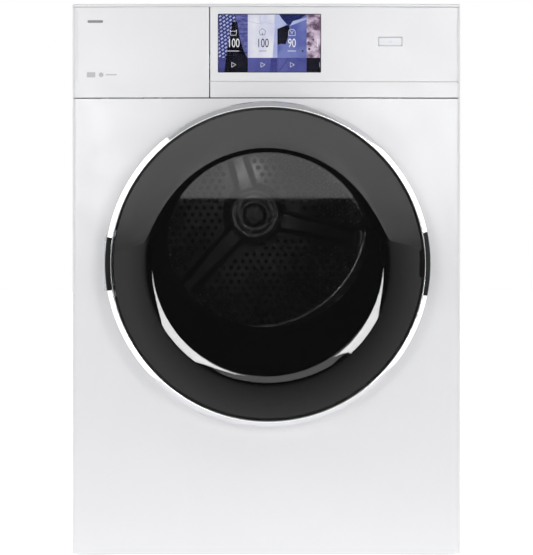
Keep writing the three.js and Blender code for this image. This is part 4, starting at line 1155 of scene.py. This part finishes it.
def studio():
    floor_mat = finish("pale_floor", (0.86, 0.86, 0.87), 0.5, grain=30, bump=0.02, tone=0.01,
                       Emission_Color=(1, 1, 1, 1))
    mesh = bpy.data.meshes.new("floor")
    half = 6.0
    start = -2.2  # the floor ends in front of the camera, so the window mirrors the dark behind it
    corners = [(-half, start, 0), (half, start, 0), (half, half, 0), (-half, half, 0)]
    mesh.from_pydata(corners, [], [(0, 1, 2, 3)])
    floor = add_object("floor", mesh)
    floor.data.materials.append(floor_mat)
    tree = floor_mat.node_tree
    # painted light: the floor glows at 0.62 near the dryer and fades to nothing by 1.35 m in front, standing in
    # for the light's falloff
    glow = ranged(tree, along_y(tree, coordinates(tree)), 0.0, 0.62, -1.35, -0.3)
    link(glow, tree.nodes["Principled BSDF"].inputs["Emission Strength"])

    def softbox(name, place, target, width, height, radiance, roll=0.0, lights=True, mirrored=True):
        """A soft light. One that isn't mirrored only lights, and one that doesn't light is only mirrored."""
        light = bpy.data.lights.new(name, "AREA")
        light.shape = "RECTANGLE"
        light.size = width
        light.size_y = height
        light.energy = radiance * pi * width * height
        obj = add_object(name, light)
        facing = (Vector(target) - Vector(place)).to_track_quat("-Z", "Y").to_matrix().to_4x4()
        obj.matrix_world = Matrix.Translation(place) @ facing @ Matrix.Rotation(roll, 4, "Z")
        obj.visible_camera = False
        obj.visible_diffuse = lights
        obj.visible_glossy = mirrored

    near = FRONT_Y * MM
    for side, sign in SIDES:
        softbox(f"front_{side}", (sign * 0.98, -2.6, 0.98), (0, near, 0.45), 0.66, 1.0, 5.5, mirrored=False)
        softbox(f"card_{side}", (sign * 0.80, -2.5, 0.95), (0, near, 0.35), 0.6, 1.15, 10.0,
                -sign * radians(50), lights=False)
        softbox(f"side_{side}", (sign * 1.9, 0.10, 1.30), (0, -0.2, 0.6), 1.3, 2.3, 1.4, lights=False)
        softbox(f"fill_{side}", (sign * 1.9, 0.15, 1.00), (0, 0, 0.45), 1.3, 1.9, 0.7, mirrored=False)
    softbox("card_middle", (0, -2.5, 1.0), (0, near, 0.35), 1.1, 0.9, 1.0, lights=False)
    softbox("overhead", (0, -1.45, 2.4), (0, -0.3, 0.4), 2.4, 0.8, 1.3, mirrored=False)
    mouth_top = Vector((0, FRONT_Y + 30, DOOR_Z + 165)) * MM
    softbox("drum_lamp", mouth_top, Vector((0, WALL_Y, DRUM_Z)) * MM, 0.06, 0.03, 3.0)

    world = bpy.data.worlds.new("studio")
    bpy.context.scene.world = world
    world.use_nodes = True
    tree = world.node_tree
    place = add_node(tree, "TexCoord")
    ramp = add_node(tree, "ValToRGB")
    elements = ramp.color_ramp.elements
    stops = ((-0.80, 0.02), (-0.52, 0.50), (-0.25, 0.52), (0.25, 0.42), (0.92, 1.0))
    while len(elements) < len(stops):
        elements.new(0.5)
    for element, (y, level) in zip(elements, stops):
        element.position = (y + 1) / 2
        element.color = (level, level, level, 1)
    share = ranged(tree, along_y(tree, place.outputs["Generated"]), 0, 1, -1, 1)
    link(share, ramp.inputs["Fac"])
    link(ramp.outputs["Color"], tree.nodes["Background"].inputs["Color"])


def camera():
    data = bpy.data.cameras.new("camera")
    data.lens = 85
    data.sensor_width = 36
    distance = 2.006
    left = 0.10
    height = 0.540
    aim_z = 0.4313
    shift = data.lens / data.sensor_width / distance  # for each metre at the front
    data.shift_x = left * shift
    data.shift_y = (aim_z - height) * shift
    cam = add_object("camera", data)
    cam.location = (-left, (FRONT_Y + BOW) * MM - distance, height)
    cam.rotation_euler = (pi / 2, 0, 0)
    bpy.context.scene.camera = cam


camera()
studio()
front_panel()
control_panel()
drawer()
worktop()
side_panels()
rear_panel()
rear_duct_cover()
feet()
display()
display_glass()
power_key()
print_marks()
ring()
side_insert("grip_insert", "door_grip", 1)
side_insert("hinge_insert", "hinge_cap", -1)
cover()
cover_mask()
painted_window_shade()
door_frame()
glass_bowl()
seal()
bulkhead()
drum_rear_wall()
drum_shell()
for number, angle in enumerate(BAFFLE_ANGLES, 1):
    baffle(number, angle)
dress_cad_nodes()

bpy.context.scene.view_settings.view_transform = "Standard"
